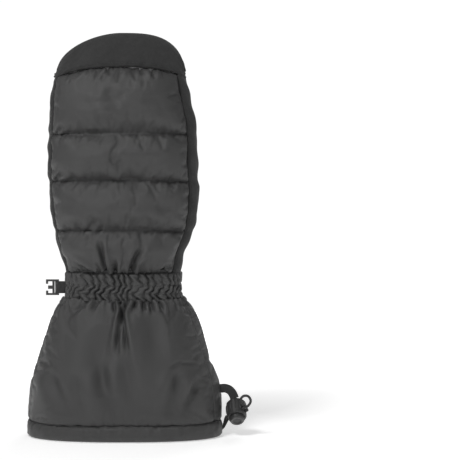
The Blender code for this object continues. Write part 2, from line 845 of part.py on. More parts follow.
def clip(parent):
    """Make the flat plastic clip: a crossbar, a slot for the strap, a tongue and two hooks."""
    kept = {
        0: (0, 1, 5, 6),
        1: (0, 3, 6),
        2: (0, 1, 2, 3, 4, 5, 6),
        3: (0, 6),
        4: (0, 1, 2, 3, 4, 5, 6),
    }

    def face(y):
        return lambda i, j: Vector((CLIP_X[i], y, CLIP_Z[j]))

    def keep(i, j):
        return j in kept[i]

    outer = face(-CLIP_HALF_THICKNESS)
    inner = face(CLIP_HALF_THICKNESS)
    bm = sheet_solid(outer, inner, len(CLIP_X) - 1, len(CLIP_Z) - 1, keep)
    add_object("clip", bm, "plastic", parent)


def wrist_ring(name, layer, span, finish, parent):
    """Make a layer of the gathered wrist; span is its share of the way from cuff to hand."""
    rows, columns = 3, 28

    def face(inset):
        def point(i, j):
            angle = 2 * math.pi * j / columns
            low = CUFF_TOP + GAP / 2
            top = hand_point(angle, BAFFLE_SEAMS[0], inset)
            share = span[0] + (span[1] - span[0]) * i / rows
            z = low + (top.z - GAP / 2 - low) * share
            wide = curve_through(WRIST_WIDTHS, share) - inset
            deep = 0.0275 - inset
            x = wide * rounded(math.cos(angle), ROUNDNESS) - 0.001
            return Vector((x, deep * rounded(math.sin(angle), ROUNDNESS), z))
        return point

    bm = sheet_solid(face(layer[0]), face(layer[1]), rows, columns, None, True)
    add_object(name, bm, finish, parent)


def care_label(parent):
    """Make the blank label sewn inside the cuff."""
    def face(inset):
        def point(i, j):
            angle = 1.95 + 0.34 * j / 3
            return cuff_point(angle, 0.058 + 0.020 * i / 2, inset)
        return point

    bm = sheet_solid(face(0.0076), face(0.0080), 2, 3)
    add_object("care_label", bm, "label", parent)


def build_cuff(root):
    """Build the cuff, the gathered wrist and all that is sewn to them."""
    push = GAP / 2
    cuff_panel("cuff_back_of_hand_panel", math.pi, -push, root)
    cuff_panel("cuff_palm_side_panel", 0.0, push, root)
    cuff_ring("cuff_padding", PADDING, "padding", root)
    cuff_ring("cuff_lining", CUFF_LINING, "fleece", root)
    hem_channel(root)
    hem_drawcord(root)
    care_label(root)
    wrist_ring("wrist_sleeve", SHELL, (0.0, 1.0), "nylon", root)
    wrist_ring("wrist_elastic_lower", (0.0012, 0.0022), (0.06, 0.46), "elastic", root)
    wrist_ring("wrist_elastic_upper", (0.0012, 0.0022), (0.54, 0.94), "elastic", root)
    wrist_ring("wrist_lining", (0.0026, 0.0046), (0.0, 1.0), "fleece", root)


def build_hand(hand):
    """Build the hand's shell, padding, membrane and lining."""
    for index in range(4):
        baffle(index, hand)
    fingertip_cap(hand)
    gussets(hand)
    palm_panel(hand)
    back_padding(hand)
    palm_padding(hand)
    inner_bag("membrane_insert", MEMBRANE, "membrane", hand)
    inner_bag("hand_lining", LINING, "fleece", hand)


def build_thumb(hand, thumb):
    """Build the thumb and the bent tube that joins it to the palm."""
    thumb_base("thumb_base", SHELL, "nylon", hand)
    thumb_base("thumb_base_lining", (0.0013, 0.0030), "fleece", hand)
    thumb_half("thumb_outer_panel", 0.0, GAP / 2, "nylon", thumb)
    thumb_half("thumb_inner_panel", math.pi, -GAP / 2, "softshell", thumb)
    thumb_bag("thumb_padding", (0.0017, 0.0038), "padding", thumb)
    thumb_bag("thumb_lining", (0.0043, 0.0055), "fleece", thumb)


def main():
    """Build the whole mitten."""
    clear_scene()
    root = empty("mitten", None, SHIFT)
    hand = empty("wrist_axis", root, (-0.001, 0.0, 0.1295))
    thumb = empty("thumb_axis", hand, (0.0345, 0.0320, 0.2080))
    strap = empty("clip_axis", root, (-0.0515, 0.0, 0.1273))
    toggle = empty("toggle_axis", root, (0.0825, 0.0, 0.0200))
    button = empty("button_axis", toggle, LOCK_CENTRE)
    build_cuff(root)
    build_hand(hand)
    build_thumb(hand, thumb)
    clip_strap(strap)
    clip(strap)
    anchor_tape(toggle)
    cord_lock(toggle, button)
    drawcord_tail(toggle)


main()
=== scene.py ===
"""Looks of a left ski mitten: quilted back, gathered wrist, flared cuff and sprung cord lock.

Units are metres. Every shape is worked out around the cuff's own centre line, with the thumb on
the +X side, the back of the hand facing -Y and the palm +Y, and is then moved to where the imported
frame has the mitten. Fabric is laid out as grids of points, settled as cloth, and then folded.
"""

import enum
import json
import logging
import math
from dataclasses import dataclass

import bmesh
import bpy
import numpy as np
from mathutils import Matrix, Vector

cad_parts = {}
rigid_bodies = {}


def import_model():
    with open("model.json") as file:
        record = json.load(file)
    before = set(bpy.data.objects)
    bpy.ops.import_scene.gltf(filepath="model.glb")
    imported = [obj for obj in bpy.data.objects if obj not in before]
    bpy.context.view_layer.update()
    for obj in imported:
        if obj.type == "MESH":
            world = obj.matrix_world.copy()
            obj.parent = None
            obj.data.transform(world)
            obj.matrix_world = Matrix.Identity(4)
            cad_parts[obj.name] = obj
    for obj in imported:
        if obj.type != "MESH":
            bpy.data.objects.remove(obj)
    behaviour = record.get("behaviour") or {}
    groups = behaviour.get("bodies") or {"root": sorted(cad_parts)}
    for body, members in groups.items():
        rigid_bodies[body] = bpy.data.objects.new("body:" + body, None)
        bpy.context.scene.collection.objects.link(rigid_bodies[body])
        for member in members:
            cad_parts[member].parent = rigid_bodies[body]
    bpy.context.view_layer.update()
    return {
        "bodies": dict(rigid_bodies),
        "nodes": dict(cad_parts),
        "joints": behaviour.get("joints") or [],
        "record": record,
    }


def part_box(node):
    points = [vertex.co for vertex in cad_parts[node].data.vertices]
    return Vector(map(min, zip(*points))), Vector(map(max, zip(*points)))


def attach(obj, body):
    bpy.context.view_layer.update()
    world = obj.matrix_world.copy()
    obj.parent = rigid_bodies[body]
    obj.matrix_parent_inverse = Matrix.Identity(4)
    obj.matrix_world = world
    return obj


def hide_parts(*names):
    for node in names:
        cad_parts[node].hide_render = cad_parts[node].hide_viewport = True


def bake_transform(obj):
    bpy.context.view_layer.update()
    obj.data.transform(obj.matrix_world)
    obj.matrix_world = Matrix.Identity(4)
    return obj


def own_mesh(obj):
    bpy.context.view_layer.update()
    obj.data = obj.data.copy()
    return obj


LOG = logging.getLogger("mitten")
ROUNDNESS = 2.4
SEAMS = (0.1420, 0.1780, 0.2205, 0.2605, 0.3155)
OVERLAY_SEAM = 0.2680
CUFF_TOP = 0.1180
TIP = 0.3446
THUMB_HOLE = (0.0245, 0.1778)
BACK_THUMB_EDGE = 0.880
BACK_LITTLE_EDGE = 0.944
PALM_EDGE = 0.857


class Body(enum.Enum):
    """The moving bodies of the frame."""

    CUFF = "cuff"
    HAND = "hand"
    THUMB = "thumb"
    CLIP = "clip_tab"
    TOGGLE = "toggle"
    BUTTON = "button"


class Side(enum.Enum):
    """The side of the cuff that a panel covers."""

    BACK_OF_HAND = "back_of_hand"
    PALM = "palm"


# --- shape rules -----------------------------------------------------------------------------


@dataclass(frozen=True)
class Profile:
    """A smooth curve through given values that never overshoots them."""

    at: tuple[float, ...]
    value: tuple[float, ...]

    def __call__(self, where: np.ndarray) -> np.ndarray:
        """Read the curve.

        Args:
            where: Places to read it at.

        Returns:
            The curve's values there.
        """
        at = np.array(self.at)
        value = np.array(self.value)
        slope = np.diff(value) / np.diff(at)
        total = slope[:-1] + slope[1:]
        product = slope[:-1] * slope[1:]
        inner = np.where(product > 0, 2 * product / np.where(total == 0, 1, total), 0)
        tangent = np.concatenate([slope[:1], inner, slope[-1:]])
        x = np.clip(where, at[0], at[-1])
        k = np.clip(np.searchsorted(at, x, side="right") - 1, 0, len(at) - 2)
        span = at[k + 1] - at[k]
        t = (x - at[k]) / span
        start = value[k] * (2 * t**3 - 3 * t**2 + 1) + tangent[k] * span * (t**3 - 2 * t**2 + t)
        end = value[k + 1] * (3 * t**2 - 2 * t**3) + tangent[k + 1] * span * (t**3 - t**2)
        return start + end


def smooth(low: float, high: float, value: np.ndarray) -> np.ndarray:
    """Return a smooth step from 0 at low to 1 at high."""
    t = np.clip((value - low) / (high - low), 0, 1)
    return t * t * (3 - 2 * t)


def rounded(value: np.ndarray, power: float = ROUNDNESS) -> np.ndarray:
    """Return a sine or cosine pushed out towards a rounded square."""
    return np.sign(value) * np.abs(value) ** (2 / power)


def angle_at(share: float) -> float:
    """Return the section angle whose point lies at this share of the half width."""
    return math.acos(share ** (ROUNDNESS / 2))


def section(start: float, end: float, count: int, ratio: float = 0.5) -> tuple[np.ndarray, np.ndarray]:
    """Space points evenly along a rounded section.

    Args:
        start: First section angle; 0 is the thumb side and a quarter turn the palm.
        end: Last section angle.
        count: Number of steps.
        ratio: Depth of the section for each unit of its width.

    Returns:
        The points' shares of the half width and of the half depth.
    """
    fine = np.linspace(start, end, 6000)
    across = rounded(np.cos(fine))
    deep = rounded(np.sin(fine))
    steps = np.hypot(np.diff(across), ratio * np.diff(deep))
    length = np.concatenate([[0], np.cumsum(steps)])
    angle = np.interp(np.linspace(0, length[-1], count + 1), length, fine)
    return rounded(np.cos(angle)), rounded(np.sin(angle))


@dataclass(frozen=True)
class HandForm:
    """Outer form of the hand."""

    left: Profile = Profile(
        (0.1405, 0.1550, 0.1820, 0.2090, 0.2300, 0.2640, 0.2920, 0.3135),
        (-0.0500, -0.0540, -0.0610, -0.0640, -0.0650, -0.0640, -0.0620, -0.0565),
    )
    right: Profile = Profile(
        (0.1405, 0.1550, 0.1820, 0.2090, 0.2300, 0.2640, 0.2920, 0.3135),
        (0.0480, 0.0510, 0.0610, 0.0640, 0.0630, 0.0620, 0.0560, 0.0515),
    )
    bow: Profile = Profile((*SEAMS, TIP), (0.1405, 0.1765, 0.2185, 0.2585, 0.3065, 0.3135))
    back: Profile = Profile((0.1405, 0.1900, 0.2400, 0.2800), (0.0270, 0.0310, 0.0310, 0.0290))
    palm: Profile = Profile((0.1405, 0.1900, 0.2400, 0.2800), (0.0260, 0.0290, 0.0280, 0.0260))
    taper_start: float = 0.2500

    def seam_shape(self, across: np.ndarray, height: np.ndarray) -> np.ndarray:
        """Return how far up its bow a seam is at a place across the hand, from 0 to 1."""
        square = np.clip((height - 0.295) / (TIP - 0.295), 0, 1)
        power = 2.0 + (np.where(across > 0, 3.2, 1.75) - 2.0) * square
        exponent = 1.0 + (np.where(across > 0, 0.53, 0.56) - 1.0) * square
        return np.clip(1 - np.abs(across) ** power, 0, 1) ** exponent

    def point(
        self,
        across: np.ndarray,
        deep: np.ndarray,
        height: np.ndarray,
        inset: float = 0.0,
    ) -> np.ndarray:
        """Return points of the hand.

        Args:
            across: Share of the half width, from the little finger's side to the thumb's.
            deep: Share of the half depth, negative on the back.
            height: Height of the level on the centre line.
            inset: Distance in from the outer face.

        Returns:
            Points in the last axis.
        """
        span = TIP - SEAMS[0]
        stretched = SEAMS[0] + (height - SEAMS[0]) * span / (span - inset)
        side = self.bow(stretched)
        rise = stretched - side
        left = self.left(side)
        right = self.right(side)
        depth = np.where(deep < 0, self.back(height), self.palm(height))
        over = np.clip((height - self.taper_start) / (TIP - inset - self.taper_start), 0, 1)
        taper = np.clip(1 - over**2.3, 0, 1) ** (1 / 2.1)
        x = (left + right) / 2 + ((right - left) / 2 - inset) * across
        y = (depth - inset) * taper * deep
        z = height - rise * (1 - self.seam_shape(across, stretched))
        return np.stack(np.broadcast_arrays(x, y, z), axis=-1)


@dataclass(frozen=True)
class CuffForm:
    """Outer form of the flared cuff and of the narrow wrist above it."""

    wide: Profile = Profile(
        (0.0, 0.025, 0.045, 0.066, 0.086, 0.104, 0.118),
        (0.0825, 0.0820, 0.0800, 0.0735, 0.0675, 0.0605, 0.0515),
    )
    deep: Profile = Profile(
        (0.0, 0.025, 0.045, 0.066, 0.086, 0.104, 0.118),
        (0.0420, 0.0415, 0.0405, 0.0380, 0.0350, 0.0315, 0.0280),
    )
    wrist: Profile = Profile((0.1180, 0.1300, 0.1420), (0.0500, 0.0485, 0.0490))
    wrist_depth: float = 0.0275

    def point(
        self,
        across: np.ndarray,
        deep: np.ndarray,
        height: np.ndarray,
        inset: float = 0.0,
    ) -> np.ndarray:
        """Return points of the cuff; the arguments are as for the hand."""
        x = (self.wide(height) - inset) * across - 0.001 * height / CUFF_TOP
        y = (self.deep(height) - inset) * deep
        return np.stack(np.broadcast_arrays(x, y, height), axis=-1)

    def wrist_point(
        self,
        across: np.ndarray,
        deep: np.ndarray,
        height: np.ndarray,
        inset: float = 0.0,
    ) -> np.ndarray:
        """Return points of the wrist; the arguments are as for the hand."""
        x = (self.wrist(height) - inset) * across - 0.001
        y = (self.wrist_depth - inset) * deep
        return np.stack(np.broadcast_arrays(x, y, height), axis=-1)


@dataclass(frozen=True)
class ThumbForm:
    """Outer form of the thumb: a bent tube out of the palm, and the thumb above it."""

    roll: float = math.radians(14)
    base: tuple = (
        (0.0245, 0.0140, 0.1775, 0, 0.0153, 0.0248, 5.0),
        (0.0250, 0.0300, 0.1780, 4, 0.0160, 0.0250, 4.0),
        (0.0290, 0.0449, 0.1863, 38, 0.0200, 0.0225, 3.0),
        (0.0325, 0.0493, 0.1993, 74, 0.0240, 0.0190, 2.6),
        (0.0345, 0.0505, 0.2100, 90, 0.0265, 0.0180, 2.4),
    )
    body: tuple = (
        (0.2103, 0.0345, 0.0505, 0.0265, 0.0180),
        (0.2300, 0.0340, 0.0515, 0.0280, 0.0185),
        (0.2500, 0.0330, 0.0510, 0.0268, 0.0175),
        (0.2700, 0.0318, 0.0500, 0.0232, 0.0155),
        (0.2930, 0.0305, 0.0490, 0.0190, 0.0130),
    )
    tip: float = 0.2930

    def along(self) -> np.ndarray:
        """Return the way the thumb's width runs."""
        return np.array((math.cos(self.roll), -math.sin(self.roll), 0.0))

    def column(self, table: tuple, index: int) -> Profile:
        """Return one column of a table of stations as a curve; the base is read by station number."""
        at = tuple(range(len(table))) if table is self.base else tuple(row[0] for row in table)
        return Profile(at, tuple(row[index] for row in table))

    def point(self, angle: np.ndarray, share: np.ndarray, inset: float = 0.0) -> np.ndarray:
        """Return points of the thumb.

        Args:
            angle: Section angle; a quarter turn faces away from the palm.
            share: Place along the thumb, 0 to 1 in the base and 1 to 2 above it.
            inset: Distance in from the outer face.

        Returns:
            Points in the last axis.
        """
        base = self.base_point(angle, share, inset)
        body = self.body_point(angle, share, inset)
        return np.where((share < 1)[..., None], base, body)

    def base_point(self, angle: np.ndarray, share: np.ndarray, inset: float) -> np.ndarray:
        """Return points of the bent tube; the arguments are as for point."""
        station = np.clip(share, 0, 1) * (len(self.base) - 1)
        x, y, z, turn, wide, deep, power = (self.column(self.base, k)(station) for k in range(7))
        turn = np.radians(turn)
        across = (wide - inset) * np.sign(np.cos(angle)) * np.abs(np.cos(angle)) ** (2 / power)
        out = (deep - inset) * np.sign(np.sin(angle)) * np.abs(np.sin(angle)) ** (2 / power)
        centre = np.stack(np.broadcast_arrays(x, y, z), axis=-1)
        outward = np.stack(np.broadcast_arrays(0 * turn, np.sin(turn), -np.cos(turn)), axis=-1)
        return centre + self.along() * across[..., None] + outward * out[..., None]

    def body_point(self, angle: np.ndarray, share: np.ndarray, inset: float) -> np.ndarray:
        """Return points of the thumb above its base; the arguments are as for point."""
        start = self.body[0][0]
        end = self.tip - inset
        height = end - (end - start) * (1 - np.clip(share - 1, 0, 1)) ** 1.3
        x, y, wide, deep = (self.column(self.body, k)(height) for k in range(1, 5))
        over = np.clip((height - 0.262) / (end - 0.262), 0, 1)
        across = (wide - inset) * rounded(np.cos(angle)) * (1 - 0.45 * over**2.4)
        out = (deep - inset) * rounded(np.sin(angle)) * np.clip(1 - over**2.2, 0, 1) ** 0.5
        z = height - 0.010 * over**2 * np.abs(np.cos(angle)) ** 2.5
        centre = np.stack(np.broadcast_arrays(x, y + out, z), axis=-1)
        return centre + self.along() * across[..., None]

    def core(self, share: np.ndarray) -> np.ndarray:
        """Return the tube's middle at places along it."""
        quarter = np.full_like(share, math.pi / 2)
        return (self.point(quarter, share) + self.point(-quarter, share)) / 2


HAND = HandForm()
CUFF = CuffForm()
THUMB = ThumbForm()


# --- folds and ripples -----------------------------------------------------------------------


@dataclass(frozen=True)
class Ripple:
    """Soft, seeded unevenness that is the same on every run."""

    seed: int
    length: float
    waves: int = 14
    stretch: float = 1.0

    def __call__(self, u: np.ndarray, v: np.ndarray) -> np.ndarray:
        """Return a height from about -1 to 1 at flat coordinates; stretch lengthens it along v."""
        chance = np.random.default_rng(self.seed)
        total = np.zeros(np.broadcast(u, v).shape)
        for _ in range(self.waves):
            way = chance.uniform(0, math.tau)
            pace = math.tau / self.length * chance.uniform(0.6, 1.5)
            shift = chance.uniform(0, math.tau)
            total += np.sin(pace * (math.cos(way) * u + math.sin(way) * v / self.stretch) + shift)
        return total / math.sqrt(self.waves * 0.9)


@dataclass(frozen=True)
class Puckers:
    """Short sharp gathers that run off a seam and die out."""

    seed: int
    pitch: float
    depth: float
    reach: float
    lean: float = 0.0

    def __call__(self, along: np.ndarray, away: np.ndarray) -> np.ndarray:
        """Return the gathers' height.

        Args:
            along: Distance along the seam.
            away: Distance from the seam, never negative.

        Returns:
            Heights to add, mostly inwards.
        """
        chance = np.random.default_rng(self.seed)
        count = 400
        heights = chance.uniform(0.15, 1.0, count)
        reaches = self.reach * chance.uniform(0.45, 1.5, count)
        jitter = chance.uniform(-0.28, 0.28, count)
        place = (along + self.lean * away) / self.pitch + count / 2
        nearest = np.floor(place).astype(int) % count
        total = np.zeros(np.broadcast(along, away).shape)
        for offset in (-1, 0, 1):
            index = (nearest + offset) % count
            distance = place - (np.floor(place) + offset + 0.5 + jitter[index])
            crease = np.exp(-((distance / 0.22) ** 2)) - 0.45 * np.exp(-((distance / 0.5) ** 2))
            total -= crease * heights[index] * np.exp(-((np.abs(away) / reaches[index]) ** 1.4))
        return total * self.depth


@dataclass(frozen=True)
class Crease:
    """One fold, along a line given as x and z."""

    line: tuple[tuple[float, float], ...]
    depth: float
    width: float
    start: float = 0.10
    end: float = 0.55

    def __call__(self, x: np.ndarray, z: np.ndarray) -> np.ndarray:
        """Return the fold's height at places on the face: a groove between two soft shoulders."""
        route = np.array(self.line)
        lengths = np.hypot(*np.diff(route, axis=0).T)
        whole = lengths.sum()
        nearest = np.full(np.shape(x), 1e9)
        place = np.zeros(np.shape(x))
        side = np.zeros(np.shape(x))
        run = 0.0
        for (ax, az), (bx, bz), length in zip(route[:-1], route[1:], lengths):
            wx, wz = (bx - ax) / length, (bz - az) / length
            t = np.clip((x - ax) * wx + (z - az) * wz, 0, length)
            off = np.hypot(x - ax - wx * t, z - az - wz * t)
            closer = off < nearest
            nearest = np.where(closer, off, nearest)
            place = np.where(closer, (run + t) / whole, place)
            side = np.where(closer, np.sign((x - ax) * wz - (z - az) * wx), side)
            run += length
        fade = smooth(0, self.start, place) * (1 - smooth(1 - self.end, 1, place))
        width = self.width * (1 + 0.9 * place)
        groove = -np.exp(-((nearest / width) ** 2))
        shoulder = (0.42 + 0.2 * side) * np.exp(-(((nearest - 2.1 * width) / (1.3 * width)) ** 2))
        return self.depth * fade * (groove + shoulder)


# --- fabric ----------------------------------------------------------------------------------


class Cloth:
    """A sheet of fabric as rows and columns of points."""

    def __init__(self, points: np.ndarray, core: np.ndarray | None = None, ring: bool = False) -> None:
        """Lay the sheet out.

        Args:
            points: Rows, columns and coordinates; a ring leaves its last, repeated column out.
            core: What the outside faces away from, for each row; the centre line if left out.
            ring: Whether the last column joins the first.
        """
        self.points = np.array(points, float)
        self.ring = ring
        if core is None:
            core = self.points * np.array((0.0, 0.0, 1.0))
        self.core = core
        self.first = self.points.copy()
        self.sign = 1.0
        self.sign = float(np.sign(np.mean(np.sum(self.normals() * (self.points - core), axis=-1))))

    def normals(self) -> np.ndarray:
        """Return the outward way at each point."""
        p = self.points
        if self.ring:
            along = np.roll(p, -1, axis=1) - np.roll(p, 1, axis=1)
        else:
            along = np.gradient(p, axis=1)
        up = np.gradient(p, axis=0)
        normal = np.cross(along, up)
        size = np.linalg.norm(normal, axis=-1, keepdims=True)
        return self.sign * normal / np.maximum(size, 1e-12)

    def push(self, amount: np.ndarray) -> None:
        """Move every point outwards by its amount."""
        self.points = self.points + self.normals() * np.asarray(amount)[..., None]

    def flat(self) -> tuple[np.ndarray, np.ndarray]:
        """Return how far along and how far up the cloth each point lies, with a ring's end column."""
        p = np.concatenate([self.first, self.first[:, :1]], axis=1) if self.ring else self.first
        across = np.linalg.norm(np.diff(p, axis=1), axis=-1)
        up = np.linalg.norm(np.diff(p, axis=0), axis=-1).mean(axis=1)
        u = np.concatenate([np.zeros((p.shape[0], 1)), np.cumsum(across, axis=1)], axis=1)
        u = u - u[:, -1:] / 2
        v = np.concatenate([[0.0], np.cumsum(up)])[:, None] + 0 * u
        return u, v

    def faces(self, keep: np.ndarray | None = None) -> list[tuple[int, int, int, int]]:
        """Return the faces as rings of point numbers that turn outwards."""
        rows, columns = self.points.shape[:2]
        found = []
        for i in range(rows - 1):
            for j in range(columns if self.ring else columns - 1):
                if keep is not None and not keep[i, j]:
                    continue
                k = (j + 1) % columns
                corners = (i * columns + j, i * columns + k, (i + 1) * columns + k, (i + 1) * columns + j)
                found.append(corners if self.sign > 0 else corners[::-1])
        return found

    def mesh(self, keep: np.ndarray | None = None, origin: Vector = Vector()) -> bpy.types.Mesh:
        """Return the sheet as a mesh with its flat coordinates as a UV map.

        Args:
            keep: Which cells to keep.
            origin: Where the mitten's centre line stands.

        Returns:
            The mesh, without thickness.
        """
        u, v = self.flat()
        mesh = bpy.data.meshes.new("cloth")
        place = self.points.reshape(-1, 3) + np.array(origin)
        mesh.from_pydata(place.tolist(), [], self.faces(keep))
        layer = mesh.uv_layers.new(name="cloth")
        columns = self.points.shape[1]
        index = np.zeros(len(mesh.loops), np.int32)
        mesh.loops.foreach_get("vertex_index", index)
        row, column = np.divmod(index, columns)
        if self.ring:
            lowest = np.minimum.reduceat(column, np.arange(0, len(column), 4)).repeat(4)
            highest = np.maximum.reduceat(column, np.arange(0, len(column), 4)).repeat(4)
            column = np.where((highest - lowest > 1) & (column == 0), columns, column)
        layer.data.foreach_set("uv", np.stack([u[row, column], v[row, column]], axis=1).ravel())
        mesh.shade_smooth()
        return mesh


@dataclass(frozen=True)
class Settling:
    """A short cloth simulation that lets surplus fabric swell and wrinkle between its seams."""

    growth: float = 0.035
    pressure: float = 3.0
    frames: int = 22
    bending: float = 0.25
    reach: float = 0.0060
    scale: float = 10.0

    def run(self, cloth: Cloth, held: np.ndarray) -> None:
        """Settle a sheet in place.

        Args:
            cloth: The sheet to settle.
            held: True for the points that seams hold.
        """
        mesh = bpy.data.meshes.new("settling")
        mesh.from_pydata((cloth.points.reshape(-1, 3) * self.scale).tolist(), [], cloth.faces())
        item = bpy.data.objects.new("settling", mesh)
        bpy.context.scene.collection.objects.link(item)
        group = item.vertex_groups.new(name="held")
        group.add(np.nonzero(held.ravel())[0].tolist(), 1.0, "REPLACE")
        modifier = item.modifiers.new("settling", "CLOTH")
        self.dress(modifier)
        scene = bpy.context.scene
        for frame in range(1, self.frames + 1):
            scene.frame_set(frame)
        evaluated = item.evaluated_get(bpy.context.evaluated_depsgraph_get())
        found = np.zeros(len(mesh.vertices) * 3)
        evaluated.data.vertices.foreach_get("co", found)
        moved = found.reshape(cloth.points.shape) / self.scale - cloth.points
        size = np.linalg.norm(moved, axis=-1, keepdims=True)
        share = np.minimum(1, self.reach / np.maximum(size, 1e-9))
        cloth.points = cloth.points + moved * share
        LOG.info("settled %d points, furthest %.1f mm", len(mesh.vertices), size.max() * 1000)
        scene.frame_set(1)
        bpy.data.objects.remove(item)
        bpy.data.meshes.remove(mesh)

    def dress(self, modifier: bpy.types.ClothModifier) -> None:
        """Set the simulation up."""
        settings = modifier.settings
        settings.quality = 6
        settings.mass = 0.2
        settings.tension_stiffness = 18
        settings.compression_stiffness = 18
        settings.shear_stiffness = 6
        settings.bending_stiffness = self.bending
        settings.air_damping = 2.5
        settings.vertex_group_mass = "held"
        settings.shrink_min = -self.growth
        settings.use_pressure = True
        settings.uniform_pressure_force = self.pressure
        settings.effector_weights.gravity = 0.0
        modifier.collision_settings.use_collision = False
        modifier.point_cache.frame_start = 1
        modifier.point_cache.frame_end = self.frames


# --- finishes --------------------------------------------------------------------------------


class Shading:
    """Builds one material's nodes."""

    def __init__(self, name: str) -> None:
        """Start a material with a principled shader."""
        self.material = bpy.data.materials.new(name)
        self.material.use_nodes = True
        self.tree = self.material.node_tree
        self.shader = self.tree.nodes["Principled BSDF"]

    def add(self, kind: str, **values: object) -> bpy.types.Node:
        """Add a node; a value goes to the socket of its name, or else to the node's own setting."""
        node = self.tree.nodes.new(kind)
        for key, value in values.items():
            socket = next((s for s in node.inputs if s.name.lower().replace(" ", "_") == key), None)
            if socket is None:
                setattr(node, key, value)
            elif isinstance(value, bpy.types.NodeSocket):
                self.tree.links.new(value, socket)
            else:
                socket.default_value = value
        return node

    def math(self, operation: str, a: object, b: object = 0.0) -> bpy.types.NodeSocket:
        """Return the result of a sum on two sockets or numbers."""
        node = self.tree.nodes.new("ShaderNodeMath")
        node.operation = operation
        for socket, value in zip(node.inputs, (a, b)):
            if isinstance(value, bpy.types.NodeSocket):
                self.tree.links.new(value, socket)
            else:
                socket.default_value = value
        return node.outputs[0]

    def uv(self) -> tuple[bpy.types.NodeSocket, bpy.types.NodeSocket, bpy.types.NodeSocket]:
        """Return the cloth's flat coordinates, whole and one by one, in metres."""
        node = self.add("ShaderNodeUVMap", uv_map="cloth")
        split = self.tree.nodes.new("ShaderNodeSeparateXYZ")
        self.tree.links.new(node.outputs[0], split.inputs[0])
        return node.outputs[0], split.outputs[0], split.outputs[1]

    def place(self) -> bpy.types.NodeSocket:
        """Return object coordinates."""
        return self.add("ShaderNodeTexCoord").outputs["Object"]

    def noise(
        self,
        vector: bpy.types.NodeSocket,
        scale: float,
        detail: float = 3.0,
    ) -> bpy.types.NodeSocket:
        """Return noise from 0 to 1."""
        return self.add("ShaderNodeTexNoise", vector=vector, scale=scale, detail=detail).outputs[0]

    def wave(self, along: bpy.types.NodeSocket, pitch: float) -> bpy.types.NodeSocket:
        """Return a sine of a coordinate with one turn in each pitch."""
        return self.math("SINE", self.math("MULTIPLY", along, math.tau / pitch))

    def tint(self, amount: bpy.types.NodeSocket, low: tuple, high: tuple) -> None:
        """Colour the shader from low to high by an amount from 0 to 1."""
        ramp = self.tree.nodes.new("ShaderNodeValToRGB")
        ramp.color_ramp.elements[0].color = (*low, 1.0)
        ramp.color_ramp.elements[1].color = (*high, 1.0)
        self.tree.links.new(amount, ramp.inputs[0])
        self.tree.links.new(ramp.outputs[0], self.shader.inputs["Base Color"])

    def roughen(self, amount: bpy.types.NodeSocket, low: float, high: float) -> None:
        """Spread an amount from 0 to 1 over a range of roughness."""
        node = self.tree.nodes.new("ShaderNodeMapRange")
        node.inputs["To Min"].default_value = low
        node.inputs["To Max"].default_value = high
        self.tree.links.new(amount, node.inputs["Value"])
        self.tree.links.new(node.outputs[0], self.shader.inputs["Roughness"])

    def bump(self, height: bpy.types.NodeSocket, depth: float, strength: float = 1.0) -> None:
        """Raise the surface by a height of 0 to 1 times a depth, over any bump already there."""
        before = self.shader.inputs["Normal"].links
        node = self.add("ShaderNodeBump", height=height, distance=depth, strength=strength)
        if before:
            self.tree.links.new(before[0].from_socket, node.inputs["Normal"])
        self.tree.links.new(node.outputs[0], self.shader.inputs["Normal"])

    def set(self, **values: float) -> None:
        """Set constants straight on the shader's sockets."""
        for socket in self.shader.inputs:
            key = socket.name.lower().replace(" ", "_")
            if key in values:
                socket.default_value = values[key]


def grey(level: float, warmth: float = 0.0) -> tuple[float, float, float]:
    """Return a grey that leans a little to red or to blue."""
    return (level * (1 + warmth), level, level * (1 - warmth))


@dataclass(frozen=True)
class Nylon:
    """Smooth coated nylon with a fine plain weave, a soft sheen, lighter worn crests and painted shade in
    its creases.
    """

    level: float = 0.039
    thread: float = 0.00042
    roughness: float = 0.46
    slot: str = "nylon"

    def make(self) -> bpy.types.Material:
        """Return the material."""
        s = Shading("nylon_weave")
        flat, u, v = s.uv()
        weave = s.math("MULTIPLY", s.wave(u, self.thread), s.wave(v, self.thread))
        slub = s.add("ShaderNodeMapping", vector=flat, scale=(60.0, 2600.0, 1.0)).outputs[0]
        streak = s.noise(slub, 1.0, 2.0)
        warp = s.add("ShaderNodeMapping", vector=flat, scale=(2600.0, 70.0, 1.0)).outputs[0]
        other = s.noise(warp, 1.0, 2.0)
        streak = s.math("ADD", s.math("MULTIPLY", streak, 0.5), s.math("MULTIPLY", other, 0.5))
        cloud = s.noise(s.place(), 34.0, 5.0)
        # Painted shade: pointiness darkens the colour in creases and folds where shade falls, and
        # lightens the crests a little as wear.
        crest = s.tree.nodes.new("ShaderNodeNewGeometry").outputs["Pointiness"]
        crease_shade_and_wear = s.math("MULTIPLY", s.math("SUBTRACT", crest, 0.5), 4.5)
        mix = s.math("ADD", s.math("MULTIPLY", streak, 0.55), s.math("MULTIPLY", cloud, 0.45))
        s.tint(s.math("ADD", mix, crease_shade_and_wear), grey(self.level * 0.72), grey(self.level * 1.30, 0.004))
        s.roughen(cloud, self.roughness - 0.07, self.roughness + 0.09)
        s.bump(cloud, 0.0003, 0.35)
        s.bump(streak, 0.00006, 0.6)
        s.bump(weave, 0.00005, 0.7)
        s.set(sheen_weight=0.04, sheen_roughness=0.45, specular_ior_level=0.45)
        return s.material


